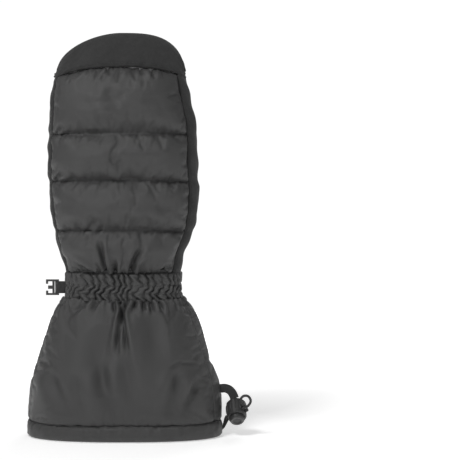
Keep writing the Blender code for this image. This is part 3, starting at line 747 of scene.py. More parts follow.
@dataclass(frozen=True)
class Softshell:
    """Matt bonded knit with a brushed, slightly mottled face."""

    level: float = 0.030
    grain: float = 0.00085
    slot: str = "softshell"

    def make(self) -> bpy.types.Material:
        """Return the material."""
        s = Shading("softshell_knit")
        _, u, v = s.uv()
        slanted = s.math("ADD", v, s.math("MULTIPLY", u, 0.5))
        rib = s.math("MULTIPLY", s.wave(u, self.grain), s.wave(slanted, self.grain))
        place = s.place()
        fuzz = s.noise(place, 2300.0, 2.0)
        mottle = s.noise(place, 420.0, 4.0)
        cloud = s.noise(place, 26.0, 3.0)
        mix = s.math("ADD", s.math("MULTIPLY", mottle, 0.55), s.math("MULTIPLY", cloud, 0.45))
        s.tint(mix, grey(self.level * 0.62), grey(self.level * 1.42))
        s.roughen(fuzz, 0.82, 0.97)
        s.bump(mottle, 0.0003, 0.5)
        s.bump(fuzz, 0.00015, 0.7)
        s.bump(rib, 0.00008, 0.6)
        s.set(sheen_weight=0.08, sheen_roughness=0.6, specular_ior_level=0.20)
        return s.material


@dataclass(frozen=True)
class Webbing:
    """Woven tape with a twill rib along it."""

    level: float = 0.030
    rib: float = 0.0011
    slot: str = "webbing"

    def make(self) -> bpy.types.Material:
        """Return the material."""
        s = Shading("webbing_twill")
        _, u, v = s.uv()
        twill = s.math("MULTIPLY", s.wave(s.math("ADD", u, v), self.rib), s.wave(u, self.rib * 0.8))
        lint = s.noise(s.place(), 900.0, 3.0)
        shade = s.math("ADD", s.math("MULTIPLY", twill, 0.3), lint)
        s.tint(shade, grey(self.level * 0.5), grey(self.level * 1.6))
        s.roughen(lint, 0.68, 0.88)
        s.bump(lint, 0.0001, 0.5)
        s.bump(twill, 0.00018, 0.9)
        s.set(sheen_weight=0.15, sheen_roughness=0.5)
        return s.material


@dataclass(frozen=True)
class Braid:
    """Round braided cord."""

    level: float = 0.024
    pitch: float = 0.0012
    slot: str = "cord"

    def make(self) -> bpy.types.Material:
        """Return the material."""
        s = Shading("cord_braid")
        _, u, v = s.uv()
        left = s.wave(s.math("ADD", u, v), self.pitch)
        right = s.wave(s.math("SUBTRACT", u, v), self.pitch)
        strand = s.math("MAXIMUM", left, right)
        lint = s.noise(s.place(), 1200.0, 2.0)
        shade = s.math("MULTIPLY", s.math("ADD", strand, lint), 0.5)
        s.tint(shade, grey(self.level * 0.5), grey(self.level * 1.9))
        s.roughen(lint, 0.6, 0.82)
        s.bump(strand, 0.00022, 1.0)
        s.set(sheen_weight=0.2, sheen_roughness=0.5)
        return s.material


@dataclass(frozen=True)
class MouldedPlastic:
    """Satin moulded plastic with a fine spark texture, lighter rubbed edges and painted shade in its
    hollows.
    """

    level: float = 0.024
    name: str = "moulded_plastic"
    slot: str = "plastic"

    def make(self) -> bpy.types.Material:
        """Return the material."""
        s = Shading(self.name)
        place = s.place()
        spark = s.noise(place, 3200.0, 2.0)
        cloud = s.noise(place, 160.0, 4.0)
        # Painted shade: pointiness darkens the colour in hollows and between parts, and lightens the
        # rubbed edges.
        crest = s.tree.nodes.new("ShaderNodeNewGeometry").outputs["Pointiness"]
        crease_shade_and_wear = s.math("MULTIPLY", s.math("SUBTRACT", crest, 0.5), 3.0)
        s.tint(s.math("ADD", cloud, crease_shade_and_wear), grey(self.level * 0.7), grey(self.level * 1.7))
        s.roughen(cloud, 0.34, 0.52)
        s.bump(spark, 0.00004, 0.6)
        s.set(specular_ior_level=0.5, coat_weight=0.06, coat_roughness=0.3)
        return s.material


@dataclass(frozen=True)
class Fleece:
    """Brushed fleece lining with short curled pile."""

    level: float = 0.032
    name: str = "lining_fleece"
    slot: str = "fleece"

    def make(self) -> bpy.types.Material:
        """Return the material."""
        s = Shading(self.name)
        place = s.place()
        cell = s.add("ShaderNodeTexVoronoi", vector=place, scale=900.0).outputs["Distance"]
        curl = s.noise(place, 700.0, 5.0)
        pile = s.math("ADD", s.math("MULTIPLY", cell, 0.5), s.math("MULTIPLY", curl, 0.6))
        s.tint(pile, grey(self.level * 0.45), grey(self.level * 1.9))
        s.roughen(curl, 0.88, 1.0)
        s.bump(pile, 0.0008, 0.9)
        s.set(sheen_weight=0.5, sheen_roughness=0.7, specular_ior_level=0.15)
        return s.material


@dataclass(frozen=True)
class Wadding:
    """White polyester wadding, membrane film or knitted elastic, told apart by shade and gloss."""

    name: str
    slot: str
    level: float
    roughness: float
    lump: float

    def make(self) -> bpy.types.Material:
        """Return the material."""
        s = Shading(self.name)
        place = s.place()
        lump = s.noise(place, 240.0, 5.0)
        fibre = s.noise(place, 2100.0, 3.0)
        s.tint(s.math("ADD", s.math("MULTIPLY", lump, 0.6), s.math("MULTIPLY", fibre, 0.4)),
               grey(self.level * 0.82), grey(min(0.9, self.level * 1.12)))
        s.roughen(fibre, self.roughness - 0.05, min(1.0, self.roughness + 0.05))
        s.bump(lump, self.lump, 0.8)
        return s.material


@dataclass(frozen=True)
class Steel:
    """Drawn spring steel with faint drawing lines."""

    slot: str = "steel"

    def make(self) -> bpy.types.Material:
        """Return the material."""
        s = Shading("spring_steel")
        line = s.noise(s.place(), 1500.0, 4.0)
        s.tint(line, grey(0.52), grey(0.66))
        s.roughen(line, 0.24, 0.38)
        s.bump(line, 0.00002, 0.5)
        s.set(metallic=1.0)
        return s.material


@dataclass(frozen=True)
class Floor:
    """Pale matt light table, brighter towards its rim."""

    def make(self) -> bpy.types.Material:
        """Return the material."""
        s = Shading("studio_floor")
        mottle = s.noise(s.place(), 6.0, 3.0)
        s.tint(mottle, grey(0.90), grey(0.93))
        s.roughen(mottle, 0.85, 0.95)
        s.shader.inputs["Emission Color"].default_value = (1.0, 1.0, 1.0, 1.0)
        far = s.tree.nodes.new("ShaderNodeVectorMath")
        far.operation = "LENGTH"
        s.tree.links.new(s.place(), far.inputs[0])
        glow = s.tree.nodes.new("ShaderNodeMapRange")
        for name, value in (("From Min", 0.15), ("From Max", 0.55), ("To Min", 0.40), ("To Max", 0.95)):
            glow.inputs[name].default_value = value
        s.tree.links.new(far.outputs["Value"], glow.inputs["Value"])
        s.tree.links.new(glow.outputs[0], s.shader.inputs["Emission Strength"])
        return s.material


class Finishes:
    """Keeps one material of each finish."""

    def __init__(self) -> None:
        """Start with no materials."""
        self.made: dict[object, bpy.types.Material] = {}

    def of(self, finish: object) -> bpy.types.Material:
        """Return the material of a finish, made the first time it is asked for."""
        if finish not in self.made:
            self.made[finish] = finish.make()
        return self.made[finish]


NYLON = Nylon()
SOFTSHELL = Softshell()
WEBBING = Webbing()
BRAID = Braid()
PLASTIC = MouldedPlastic()
BUTTON_RIM = MouldedPlastic(0.060, "button_rim_plastic")
FLEECE = Fleece()
LABEL = Wadding("label_satin", "label", 0.55, 0.55, 0.0001)
PADDING = Wadding("wadding_fibre", "padding", 0.75, 0.95, 0.0006)
MEMBRANE = Wadding("membrane_film", "membrane", 0.62, 0.45, 0.0001)
ELASTIC = Wadding("knitted_elastic", "elastic", 0.045, 0.80, 0.0003)
THREAD = Wadding("sewing_thread", "nylon", 0.028, 0.60, 0.0001)
STEEL = Steel()


# --- workshop --------------------------------------------------------------------------------


def baked_mesh(item: bpy.types.Object) -> bpy.types.Mesh:
    """Return a new mesh of an object as its modifiers leave it."""
    return bpy.data.meshes.new_from_object(item.evaluated_get(bpy.context.evaluated_depsgraph_get()))


def turn_out(mesh: bpy.types.Mesh, weld: float = 0.0, close: bool = True) -> None:
    """Turn a mesh's faces outwards, once its points are joined and its ends are closed.

    Args:
        mesh: The mesh to change.
        weld: Distance within which points are joined, or 0 for none.
        close: Whether open ends are closed.
    """
    bm = bmesh.new()
    bm.from_mesh(mesh)
    if weld:
        bmesh.ops.remove_doubles(bm, verts=bm.verts[:], dist=weld)
    if close:
        bmesh.ops.holes_fill(bm, edges=[e for e in bm.edges if e.is_boundary], sides=0)
    bmesh.ops.recalc_face_normals(bm, faces=bm.faces[:])
    bm.to_mesh(mesh)
    bm.free()


class Workshop:
    """Turns grids into finished pieces that ride on the frame."""

    def __init__(self, frame: dict) -> None:
        """Find where the mitten's centre line stands.

        Args:
            frame: What the frame loader returned.
        """
        low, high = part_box("cuff_lining")
        middle = (low + high) / 2
        self.origin = Vector((middle.x, middle.y, 0.0))
        self.nodes = frame["nodes"]
        self.finishes = Finishes()

    def finished(
        self,
        name: str,
        mesh: bpy.types.Mesh,
        finish: object,
        thickness: float = 0.0,
    ) -> bpy.types.Object:
        """Make an object of a mesh, give it thickness and bake that in.

        Args:
            name: Plain name of the piece.
            mesh: Its mesh, already in the frame.
            finish: Its finish.
            thickness: Wall thickness, grown inwards.

        Returns:
            The object, at the origin.
        """
        item = bpy.data.objects.new(name, mesh)
        bpy.context.scene.collection.objects.link(item)
        if thickness:
            wall = item.modifiers.new("wall", "SOLIDIFY")
            wall.thickness = thickness
            wall.offset = -1.0
            wall.use_even_offset = False
            baked = baked_mesh(item)
            item.modifiers.clear()
            item.data = baked
            bpy.data.meshes.remove(mesh)
        item.data.name = name
        item.data.materials.clear()
        item.data.materials.append(self.finishes.of(finish))
        return item

    def sew(
        self,
        name: str,
        cloth: Cloth,
        finish: object,
        thickness: float = 0.0009,
        keep: np.ndarray | None = None,
        weld: bool = False,
    ) -> bpy.types.Object:
        """Make a piece of a sheet of fabric.

        Args:
            name: Plain name of the piece.
            cloth: The sheet.
            finish: Its finish.
            thickness: Wall thickness, grown inwards.
            keep: Cells to keep.
            weld: Whether points that meet are joined, as where a cap closes.

        Returns:
            The object.
        """
        mesh = cloth.mesh(keep, self.origin)
        bm = bmesh.new()
        bm.from_mesh(mesh)
        if weld:
            bmesh.ops.remove_doubles(bm, verts=bm.verts[:], dist=0.00003)
        loose = [v for v in bm.verts if not v.link_faces]
        bmesh.ops.delete(bm, geom=loose, context="VERTS")
        bm.to_mesh(mesh)
        bm.free()
        return self.finished(name, mesh, finish, thickness)

    def carry(self, name: str, finish: object) -> None:
        """Give a node of the frame its finish."""
        node = self.nodes[name]
        node.data.materials.clear()
        node.data.materials.append(self.finishes.of(finish))


class StitchTree:
    """Geometry nodes that lay thread stitches along curves."""

    def __init__(self) -> None:
        """Build the tree."""
        tree = bpy.data.node_groups.new("stitches", "GeometryNodeTree")
        face = tree.interface
        face.new_socket("Geometry", in_out="OUTPUT", socket_type="NodeSocketGeometry")
        face.new_socket("Geometry", in_out="INPUT", socket_type="NodeSocketGeometry")
        for name, value in (("Spacing", 0.0030), ("Length", 0.0021), ("Thickness", 0.00036)):
            face.new_socket(name, in_out="INPUT", socket_type="NodeSocketFloat").default_value = value
        face.new_socket("Thread", in_out="INPUT", socket_type="NodeSocketMaterial")
        self.tree = tree
        self.wire()

    def wire(self) -> None:
        """Join the nodes up."""
        new = self.tree.nodes.new
        join = self.tree.links.new
        given = new("NodeGroupInput")
        spaced = new("GeometryNodeResampleCurve")
        spaced.mode = "LENGTH"
        join(given.outputs["Geometry"], spaced.inputs["Curve"])
        join(given.outputs["Spacing"], spaced.inputs["Length"])
        bead = new("GeometryNodeMeshUVSphere")
        bead.inputs["Segments"].default_value = 6
        bead.inputs["Rings"].default_value = 4
        bead.inputs["Radius"].default_value = 0.5
        tangent = new("GeometryNodeInputTangent")
        turn = new("FunctionNodeAlignRotationToVector")
        turn.axis = "Z"
        join(tangent.outputs[0], turn.inputs["Vector"])
        size = new("ShaderNodeCombineXYZ")
        join(given.outputs["Thickness"], size.inputs[0])
        join(given.outputs["Thickness"], size.inputs[1])
        join(given.outputs["Length"], size.inputs[2])
        put = new("GeometryNodeInstanceOnPoints")
        join(spaced.outputs[0], put.inputs["Points"])
        join(bead.outputs["Mesh"], put.inputs["Instance"])
        join(turn.outputs[0], put.inputs["Rotation"])
        join(size.outputs[0], put.inputs["Scale"])
        real = new("GeometryNodeRealizeInstances")
        join(put.outputs[0], real.inputs[0])
        dress = new("GeometryNodeSetMaterial")
        join(real.outputs[0], dress.inputs["Geometry"])
        join(given.outputs["Thread"], dress.inputs["Material"])
        result = new("NodeGroupOutput")
        join(dress.outputs[0], result.inputs[0])

    def identifier(self, name: str) -> str:
        """Return the identifier of a named input."""
        for item in self.tree.interface.items_tree:
            if item.in_out == "INPUT" and item.name == name:
                return item.identifier
        raise KeyError(name)

    def run(self, name: str, lines: list[np.ndarray], shop: Workshop, **sizes: float) -> bpy.types.Object:
        """Sew stitches along lines.

        Args:
            name: Plain name of the piece.
            lines: Lines of points around the mitten's centre line.
            shop: The workshop.
            **sizes: Spacing, Length or Thickness, where they differ.

        Returns:
            The stitches as one plain mesh.
        """
        curve = bpy.data.curves.new(name, "CURVE")
        curve.dimensions = "3D"
        for line in lines:
            spline = curve.splines.new("POLY")
            spline.points.add(len(line) - 1)
            place = np.concatenate([line + np.array(shop.origin), np.ones((len(line), 1))], axis=1)
            spline.points.foreach_set("co", place.ravel())
        holder = bpy.data.objects.new(name + "_line", curve)
        bpy.context.scene.collection.objects.link(holder)
        modifier = holder.modifiers.new("stitches", "NODES")
        modifier.node_group = self.tree
        modifier[self.identifier("Thread")] = shop.finishes.of(THREAD)
        for key, value in sizes.items():
            modifier[self.identifier(key)] = value
        mesh = baked_mesh(holder)
        mesh.shade_smooth()
        bpy.data.objects.remove(holder)
        bpy.data.curves.remove(curve)
        return shop.finished(name, mesh, THREAD)


# --- sub-assemblies --------------------------------------------------------------------------


@dataclass
class Studio:
    """Pale floor, soft light and a camera level with the mitten."""

    aim: tuple[float, float, float] = (0.0800, -0.0143, 0.1765)
    distance: float = 1.642
    elevation: float = 4.0
    lens: float = 150.0
    backdrop: float = 1.04
    surround: float = 0.26

    def make(self, finishes: Finishes) -> None:
        """Build the camera, the lights, the surround and the floor."""
        scene = bpy.context.scene
        scene.view_settings.view_transform = "Standard"
        camera = bpy.data.objects.new("camera", bpy.data.cameras.new("camera"))
        scene.collection.objects.link(camera)
        camera.data.lens = self.lens
        camera.data.sensor_width = 36.0
        rise = math.radians(self.elevation)
        aim = Vector(self.aim)
        camera.location = aim + Vector((0, -math.cos(rise), math.sin(rise))) * self.distance
        camera.rotation_euler = (aim - camera.location).to_track_quat("-Z", "Y").to_euler()
        scene.camera = camera
        scene.world = self.world()
        self.light("key", (-0.38, -0.58, 0.98), 0.26, 6.2)
        self.light("fill", (1.1, -1.1, 0.5), 0.7, 1.6)
        self.light("back", (0.4, 1.3, 0.9), 0.7, 5.0)
        self.floor(finishes)

    def world(self) -> bpy.types.World:
        """Return the surround: a white backdrop that lights the mitten only softly."""
        world = bpy.data.worlds.new("surround")
        world.use_nodes = True
        tree = world.node_tree
        seen = tree.nodes.new("ShaderNodeLightPath")
        spread = tree.nodes.new("ShaderNodeMapRange")
        spread.inputs["To Min"].default_value = self.surround
        spread.inputs["To Max"].default_value = self.backdrop
        tree.links.new(seen.outputs["Is Camera Ray"], spread.inputs["Value"])
        tree.links.new(spread.outputs[0], tree.nodes["Background"].inputs[1])
        tree.nodes["Background"].inputs[0].default_value = (1.0, 1.0, 1.0, 1.0)
        return world

    def light(self, name: str, place: tuple[float, float, float], size: float, power: float) -> None:
        """Hang one soft square light that looks at the mitten."""
        lamp = bpy.data.lights.new(name, "AREA")
        lamp.size = size
        lamp.energy = power
        item = bpy.data.objects.new(name, lamp)
        item.location = place
        item.rotation_euler = (Vector((0, 0, 0.17)) - item.location).to_track_quat("-Z", "Y").to_euler()
        bpy.context.scene.collection.objects.link(item)

    def floor(self, finishes: Finishes) -> None:
        """Lay a wide round floor under the mitten."""
        bm = bmesh.new()
        bmesh.ops.create_circle(bm, cap_ends=True, radius=0.95, segments=96)
        mesh = bpy.data.meshes.new("studio_floor")
        bm.to_mesh(mesh)
        bm.free()
        mesh.materials.append(finishes.of(Floor()))
        item = bpy.data.objects.new("studio_floor", mesh)
        mesh.transform(Matrix.Translation((0, 0, -0.0003)))
        bpy.context.scene.collection.objects.link(item)


def through(points: list[Vector], steps: int) -> list[Vector]:
    """Return points read evenly from a smooth curve through a route."""
    route = [Vector(p) for p in points]
    ends = [route[0] * 2 - route[1]] + route + [route[-1] * 2 - route[-2]]
    found = []
    for a, b, c, d in zip(ends, ends[1:], ends[2:], ends[3:]):
        for k in range(steps):
            t = k / steps
            even = b * 2 + (c - a) * t
            bend = (a * 2 - b * 5 + c * 4 - d) * t**2 + (b * 3 - a - c * 3 + d) * t**3
            found.append((even + bend) / 2)
    return found + [route[-1]]


def tube(points: np.ndarray, radius: float, sides: int) -> Cloth:
    """Return a round tube along points, as a ring sheet with rows along it."""
    along = np.gradient(points, axis=0)
    along /= np.linalg.norm(along, axis=1, keepdims=True)
    side = np.cross(along[0], (0.3, 0.5, 0.8))
    rows = []
    for centre, way in zip(points, along):
        side = side - way * np.dot(side, way)
        side /= np.linalg.norm(side)
        other = np.cross(way, side)
        turn = np.arange(sides) * math.tau / sides
        rows.append(centre + radius * (np.cos(turn)[:, None] * side + np.sin(turn)[:, None] * other))
    return Cloth(np.array(rows), points[:, None, :] + np.zeros((1, sides, 1)), ring=True)


@dataclass
class Toggle:
    """The sprung cord lock on its tape, with the free end of the hem's drawcord."""

    centre: Vector = Vector((0.0960, -0.0030, 0.0205))
    way: Vector = Vector((0.05, -0.72, -0.69))
    hint: Vector = Vector((0.79, -0.40, 0.47))
    cord_radius: float = 0.0011
    cord_length: float = 0.110
    ribs: int = 12

    def frame(self) -> Matrix:
        """Return the lock's own frame: +X along the cord, +Z out of the button."""
        out = self.way.normalized()
        along = (self.hint - out * self.hint.dot(out)).normalized()
        side = out.cross(along).normalized()
        turn = Matrix((along, side, out)).transposed().to_4x4()
        return Matrix.Translation(self.centre) @ turn

    def route(self) -> list[Vector]:
        """Return the free drawcord's route: out of the hem, through the lock, round and back."""
        frame = self.frame()
        side = 0.0015

        def in_lock(along: float, across: float) -> Vector:
            """Return a point on the cord's way through the lock."""
            return frame @ Vector((along, across, 0.0023))

        return [
            Vector((0.0790, 0.0068, 0.0036)),
            Vector((0.0802, 0.0036, 0.0038)),
            Vector((0.0845, 0.0010, 0.0064)),
            in_lock(-0.0105, side),
            in_lock(-0.0082, side),
            in_lock(0.0, side),
            in_lock(0.0090, side),
            Vector((0.1062, -0.0088, 0.0262)),
            Vector((0.1082, -0.0100, 0.0305)),
            Vector((0.1060, -0.0106, 0.0345)),
            Vector((0.1018, -0.0104, 0.0345)),
            Vector((0.0998, -0.0100, 0.0305)),
            in_lock(0.0098, -side - 0.0008),
            in_lock(0.0078, -side),
            in_lock(0.0, -side),
            in_lock(-0.0082, -side),
            in_lock(-0.0105, -side),
            Vector((0.0845, -0.0040, 0.0064)),
            Vector((0.0802, -0.0046, 0.0038)),
            Vector((0.0790, -0.0070, 0.0036)),
        ]

    def cord(self, shop: Workshop) -> None:
        """Make the free cord."""
        points = np.array([tuple(p) for p in through(self.route(), 8)])
        round_it = tube(points, self.cord_radius, 12)
        mesh = round_it.mesh(None, shop.origin)
        item = shop.finished("drawcord_loop", mesh, BRAID)
        turn_out(item.data)
        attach(item, Body.TOGGLE.value)
        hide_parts("drawcord_tail")

    def make(self, shop: Workshop) -> None:
        """Dress the lock and make its tape and its moulded details."""
        shop.carry("cord_lock_barrel", PLASTIC)
        shop.carry("cord_lock_button", PLASTIC)
        self.spring(shop)
        shop.carry("hem_drawcord", BRAID)
        bend = (
            (0.0790, 0.0, 0.0392),
            (0.0826, 0.0, 0.0398),
            (0.0862, 0.0, 0.0400),
            (0.0900, 0.0, 0.0385),
            (0.0928, -0.0004, 0.0352),
            (0.0944, -0.0012, 0.0312),
        )
        tape = self.strip(through([Vector(p) for p in bend], 6), 0.0038, Vector((0, -1, 0)))
        item = shop.sew("anchor_tape_webbing", tape, WEBBING, 0.0010)
        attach(item, Body.TOGGLE.value)
        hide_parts("anchor_tape")
        profile = ((0.0040, 0.01105), (0.0047, 0.01135), (0.0054, 0.01105))
        rim = self.ring(profile, shop, "button_rim", BUTTON_RIM)
        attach(rim, Body.BUTTON.value)
        ribs = self.rib_mesh(shop)
        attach(ribs, Body.TOGGLE.value)

    def spring(self, shop: Workshop) -> None:
        """Make the spring."""
        frame = self.frame()
        share = np.linspace(0, 1, 61)
        turn = math.tau * 2.5 * share
        wire = [
            tuple(frame @ Vector((0.0045 * math.cos(a), 0.0045 * math.sin(a), -0.0066 + 0.0040 * t)))
            for a, t in zip(turn, share)
        ]
        mesh = tube(np.array(wire), 0.00028, 8).mesh(None, shop.origin)
        turn_out(mesh)
        item = shop.finished("lock_spring_wire", mesh, STEEL)
        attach(item, Body.TOGGLE.value)
        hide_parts("cord_lock_spring")
        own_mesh(item)

    def strip(self, route: list[Vector], half: float, out: Vector) -> Cloth:
        """Return a woven strip along a route whose face looks one way, with slightly thicker edges."""
        rows = []
        for k, place in enumerate(route):
            way = (route[min(k + 1, len(route) - 1)] - route[max(k - 1, 0)]).normalized()
            across = out.cross(way).normalized()
            face = way.cross(across).normalized()
            row = []
            for share in np.linspace(-1, 1, 9):
                lift = 0.00012 * abs(share) ** 4 + 0.0005
                row.append(tuple(place + across * half * share + face * lift))
            rows.append(row)
        points = np.array(rows)
        core = points - np.array(tuple(out)) * -0.01
        return Cloth(points, core)

    def ring(self, profile: tuple, shop: Workshop, name: str, finish: object) -> bpy.types.Object:
        """Return a thin raised ring turned about the lock's own axis."""
        turn = np.arange(48) * math.tau / 48
        low = profile[0][1] - 0.0004
        outline = [(profile[0][0], low), *profile, (profile[-1][0], low), (profile[0][0], low)]
        points = np.array([[(r * math.cos(a), r * math.sin(a), z) for a in turn] for r, z in outline])
        middle = np.array([[(0.0047 * math.cos(a), 0.0047 * math.sin(a), low) for a in turn]])
        mesh = Cloth(points, middle + 0 * points, ring=True).mesh(None)
        turn_out(mesh, weld=0.000001, close=False)
        mesh.transform(Matrix.Translation(shop.origin) @ self.frame())
        return shop.finished(name, mesh, finish)

    def rib_mesh(self, shop: Workshop) -> bpy.types.Object:
        """Return the grip ribs round the barrel's back half."""
        tree = bpy.data.node_groups.new("grip_ribs", "GeometryNodeTree")
        tree.interface.new_socket("Geometry", in_out="OUTPUT", socket_type="NodeSocketGeometry")
        tree.interface.new_socket("Geometry", in_out="INPUT", socket_type="NodeSocketGeometry")
        count = tree.interface.new_socket("Count", in_out="INPUT", socket_type="NodeSocketInt")
        radius = tree.interface.new_socket("Radius", in_out="INPUT", socket_type="NodeSocketFloat")
        finish = tree.interface.new_socket("Plastic", in_out="INPUT", socket_type="NodeSocketMaterial")
        new = tree.nodes.new
        join = tree.links.new
        given = new("NodeGroupInput")
        circle = new("GeometryNodeMeshCircle")
        join(given.outputs["Count"], circle.inputs["Vertices"])
        join(given.outputs["Radius"], circle.inputs["Radius"])
        bar = new("GeometryNodeMeshUVSphere")
        bar.inputs["Segments"].default_value = 8
        bar.inputs["Rings"].default_value = 6
        bar.inputs["Radius"].default_value = 0.5
        put = new("GeometryNodeInstanceOnPoints")
        put.inputs["Scale"].default_value = (0.0016, 0.0016, 0.0105)
        join(circle.outputs["Mesh"], put.inputs["Points"])
        join(bar.outputs["Mesh"], put.inputs["Instance"])
        real = new("GeometryNodeRealizeInstances")
        join(put.outputs[0], real.inputs[0])
        dress = new("GeometryNodeSetMaterial")
        join(real.outputs[0], dress.inputs["Geometry"])
        join(given.outputs["Plastic"], dress.inputs["Material"])
        join(dress.outputs[0], new("NodeGroupOutput").inputs[0])
        holder = bpy.data.objects.new("rib_holder", bpy.data.meshes.new("rib_holder"))
        bpy.context.scene.collection.objects.link(holder)
        modifier = holder.modifiers.new("ribs", "NODES")
        modifier.node_group = tree
        modifier[count.identifier] = self.ribs
        modifier[radius.identifier] = 0.0084
        modifier[finish.identifier] = shop.finishes.of(PLASTIC)
        mesh = baked_mesh(holder)
        bpy.data.objects.remove(holder)
        on_barrel = Matrix.Translation((0, 0, -0.0022))
        mesh.transform(Matrix.Translation(shop.origin) @ self.frame() @ on_barrel)
        mesh.shade_smooth()
        return shop.finished("lock_grip_ribs", mesh, PLASTIC)


@dataclass
class ClipTab:
    """The webbing loop and the flat clip that joins the pair."""

    bar: float = -0.0573
    radius: float = 0.0019
    low: float = 0.1223
    high: float = 0.1323

    def make(self, shop: Workshop) -> None:
        """Dress the clip and make its strap."""
        shop.carry("clip", PLASTIC)
        route = [(-0.0506, -self.radius), (-0.0520, -self.radius), (-0.0545, -self.radius)]
        for k in range(17):
            angle = -math.pi / 2 - math.pi * k / 16
            route.append((self.bar + self.radius * math.cos(angle), self.radius * math.sin(angle)))
        route += [(-0.0545, self.radius), (-0.0520, self.radius), (-0.0506, self.radius)]
        smoothly = through([Vector((x, y, 0.0)) for x, y in route], 2)
        levels = np.linspace(self.low, self.high, 11)
        points = np.array([[(p.x, p.y, z) for p in smoothly] for z in levels])
        core = points * np.array((0.0, 0.0, 1.0)) + np.array((self.bar + 0.004, 0.0, 0.0))
        strap = Cloth(points, core)
        strap.push(0.00045 + 0.00010 * np.abs(np.linspace(-1, 1, 11))[:, None] ** 4 + 0 * points[..., 0])
        item = shop.sew("clip_strap_webbing", strap, WEBBING, 0.0009)
        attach(item, Body.CLIP.value)
        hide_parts("clip_strap")


@dataclass
class QuiltedBack:
    """The back of the hand: one nylon sheet quilted into four baffles."""

    columns: int = 96
    step: float = 0.0013
    puff: float = 0.0041
    seam_depth: float = 0.0026
    creases: tuple[Crease, ...] = (
        Crease(((-0.0136, 0.1410), (-0.0165, 0.1560), (-0.0205, 0.1740)), 0.0036, 0.0013, 0.02, 0.5),
        Crease(((0.0063, 0.1410), (0.0100, 0.1530), (0.0196, 0.1685)), 0.0034, 0.0015, 0.02, 0.5),
        Crease(((-0.0060, 0.1410), (-0.0058, 0.1480), (-0.0064, 0.1560)), 0.0022, 0.0011, 0.02, 0.6),
        Crease(((-0.0235, 0.1412), (-0.0360, 0.1470), (-0.0470, 0.1535)), 0.0024, 0.0014, 0.02, 0.6),
        Crease(((-0.0300, 0.1405), (-0.0400, 0.1440), (-0.0485, 0.1480)), 0.0018, 0.0013, 0.02, 0.6),
        Crease(((0.0298, 0.1410), (0.0390, 0.1460), (0.0460, 0.1506)), 0.0022, 0.0016, 0.02, 0.6),
        Crease(((0.0400, 0.1405), (0.0440, 0.1430), (0.0480, 0.1460)), 0.0012, 0.0012, 0.02, 0.6),
        Crease(((-0.0330, 0.1760), (-0.0260, 0.1820), (-0.0210, 0.1850)), 0.0014, 0.0012, 0.02, 0.6),
        Crease(((-0.0220, 0.1755), (-0.0170, 0.1810), (-0.0150, 0.1840)), 0.0012, 0.0011, 0.02, 0.6),
        Crease(((-0.0570, 0.2205), (-0.0530, 0.2245), (-0.0500, 0.2290)), 0.0016, 0.0012, 0.02, 0.6),
        Crease(((-0.0560, 0.2605), (-0.0530, 0.2640), (-0.0490, 0.2680)), 0.0016, 0.0012, 0.02, 0.6),
        Crease(((0.0235, 0.3145), (0.0262, 0.3090), (0.0285, 0.3040)), 0.0018, 0.0012, 0.02, 0.6),
        Crease(((0.0150, 0.3150), (0.0160, 0.3110), (0.0175, 0.3080)), 0.0012, 0.0010, 0.02, 0.6),
        Crease(((-0.0125, 0.3150), (-0.0115, 0.3110), (-0.0105, 0.3080)), 0.0014, 0.0011, 0.02, 0.6),
        Crease(((-0.0130, 0.3000), (-0.0080, 0.2900), (0.0020, 0.2840)), 0.0013, 0.0040, 0.3, 0.5),
        Crease(((-0.0110, 0.2420), (-0.0040, 0.2360), (0.0060, 0.2340)), 0.0013, 0.0036, 0.3, 0.5),
        Crease(((0.0270, 0.2010), (0.0360, 0.1960), (0.0440, 0.1930)), 0.0010, 0.0036, 0.3, 0.5),
        Crease(((-0.0300, 0.1930), (-0.0240, 0.1860), (-0.0140, 0.1810)), 0.0012, 0.0030, 0.3, 0.5),
    )

    def make(self, shop: Workshop, thread: StitchTree) -> None:
        """Build, settle, fold and dress the quilted back."""
        start = math.pi + angle_at(BACK_LITTLE_EDGE)
        end = math.tau - angle_at(BACK_THUMB_EDGE)
        across, deep = section(start, end, self.columns, 0.5)
        levels = []
        rows = []
        for low, high in zip(SEAMS, SEAMS[1:]):
            count = round((high - low) / self.step)
            rows.append(len(levels))
            levels += list(low + (high - low) * np.arange(count) / count)
        rows.append(len(levels))
        levels = np.array([*levels, SEAMS[-1]])[:, None]
        cloth = Cloth(HAND.point(across[None, :], deep[None, :], levels))
        share = np.linspace(0, 1, self.columns + 1)[None, :]
        along = np.zeros_like(levels)
        near = np.full_like(levels, 1.0)
        for low, high in zip(SEAMS, SEAMS[1:]):
            inside = (levels >= low) & (levels <= high)
            crown = np.sin(math.pi * np.clip((levels - low) / (high - low), 0, 1))
            along = np.where(inside, crown, along)
        for seam in SEAMS:
            near = np.minimum(near, np.abs(levels - seam))
        swell = self.puff * np.abs(along) ** 0.6 * np.sin(math.pi * share) ** 0.35
        swell = swell * (0.30 + 0.70 * smooth(SEAMS[0], SEAMS[0] + 0.022, levels))
        u, _ = cloth.flat()
        tuck = -self.seam_depth * np.exp(-((near / 0.0017) ** 2))
        edge = np.minimum(share, 1 - share) * 0.118
        tuck = np.minimum(tuck, -0.0012 * np.exp(-((edge / 0.0022) ** 2)))
        cloth.push(swell + tuck + 0.00030 * Ripple(3, 0.012)(u, levels + 0 * u))
        held = np.zeros(cloth.points.shape[:2], bool)
        held[rows, :] = True
        held[:, [0, -1]] = True
        Settling(growth=0.045, pressure=3.2, bending=0.18, reach=0.0050).run(cloth, held)
        self.fold(cloth, levels, u)
        back = shop.sew("quilted_back", cloth, NYLON)
        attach(back, Body.HAND.value)
        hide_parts(*(f"back_baffle_{k}" for k in (1, 2, 3, 4)))
        self.stitch(cloth, rows, shop, thread)

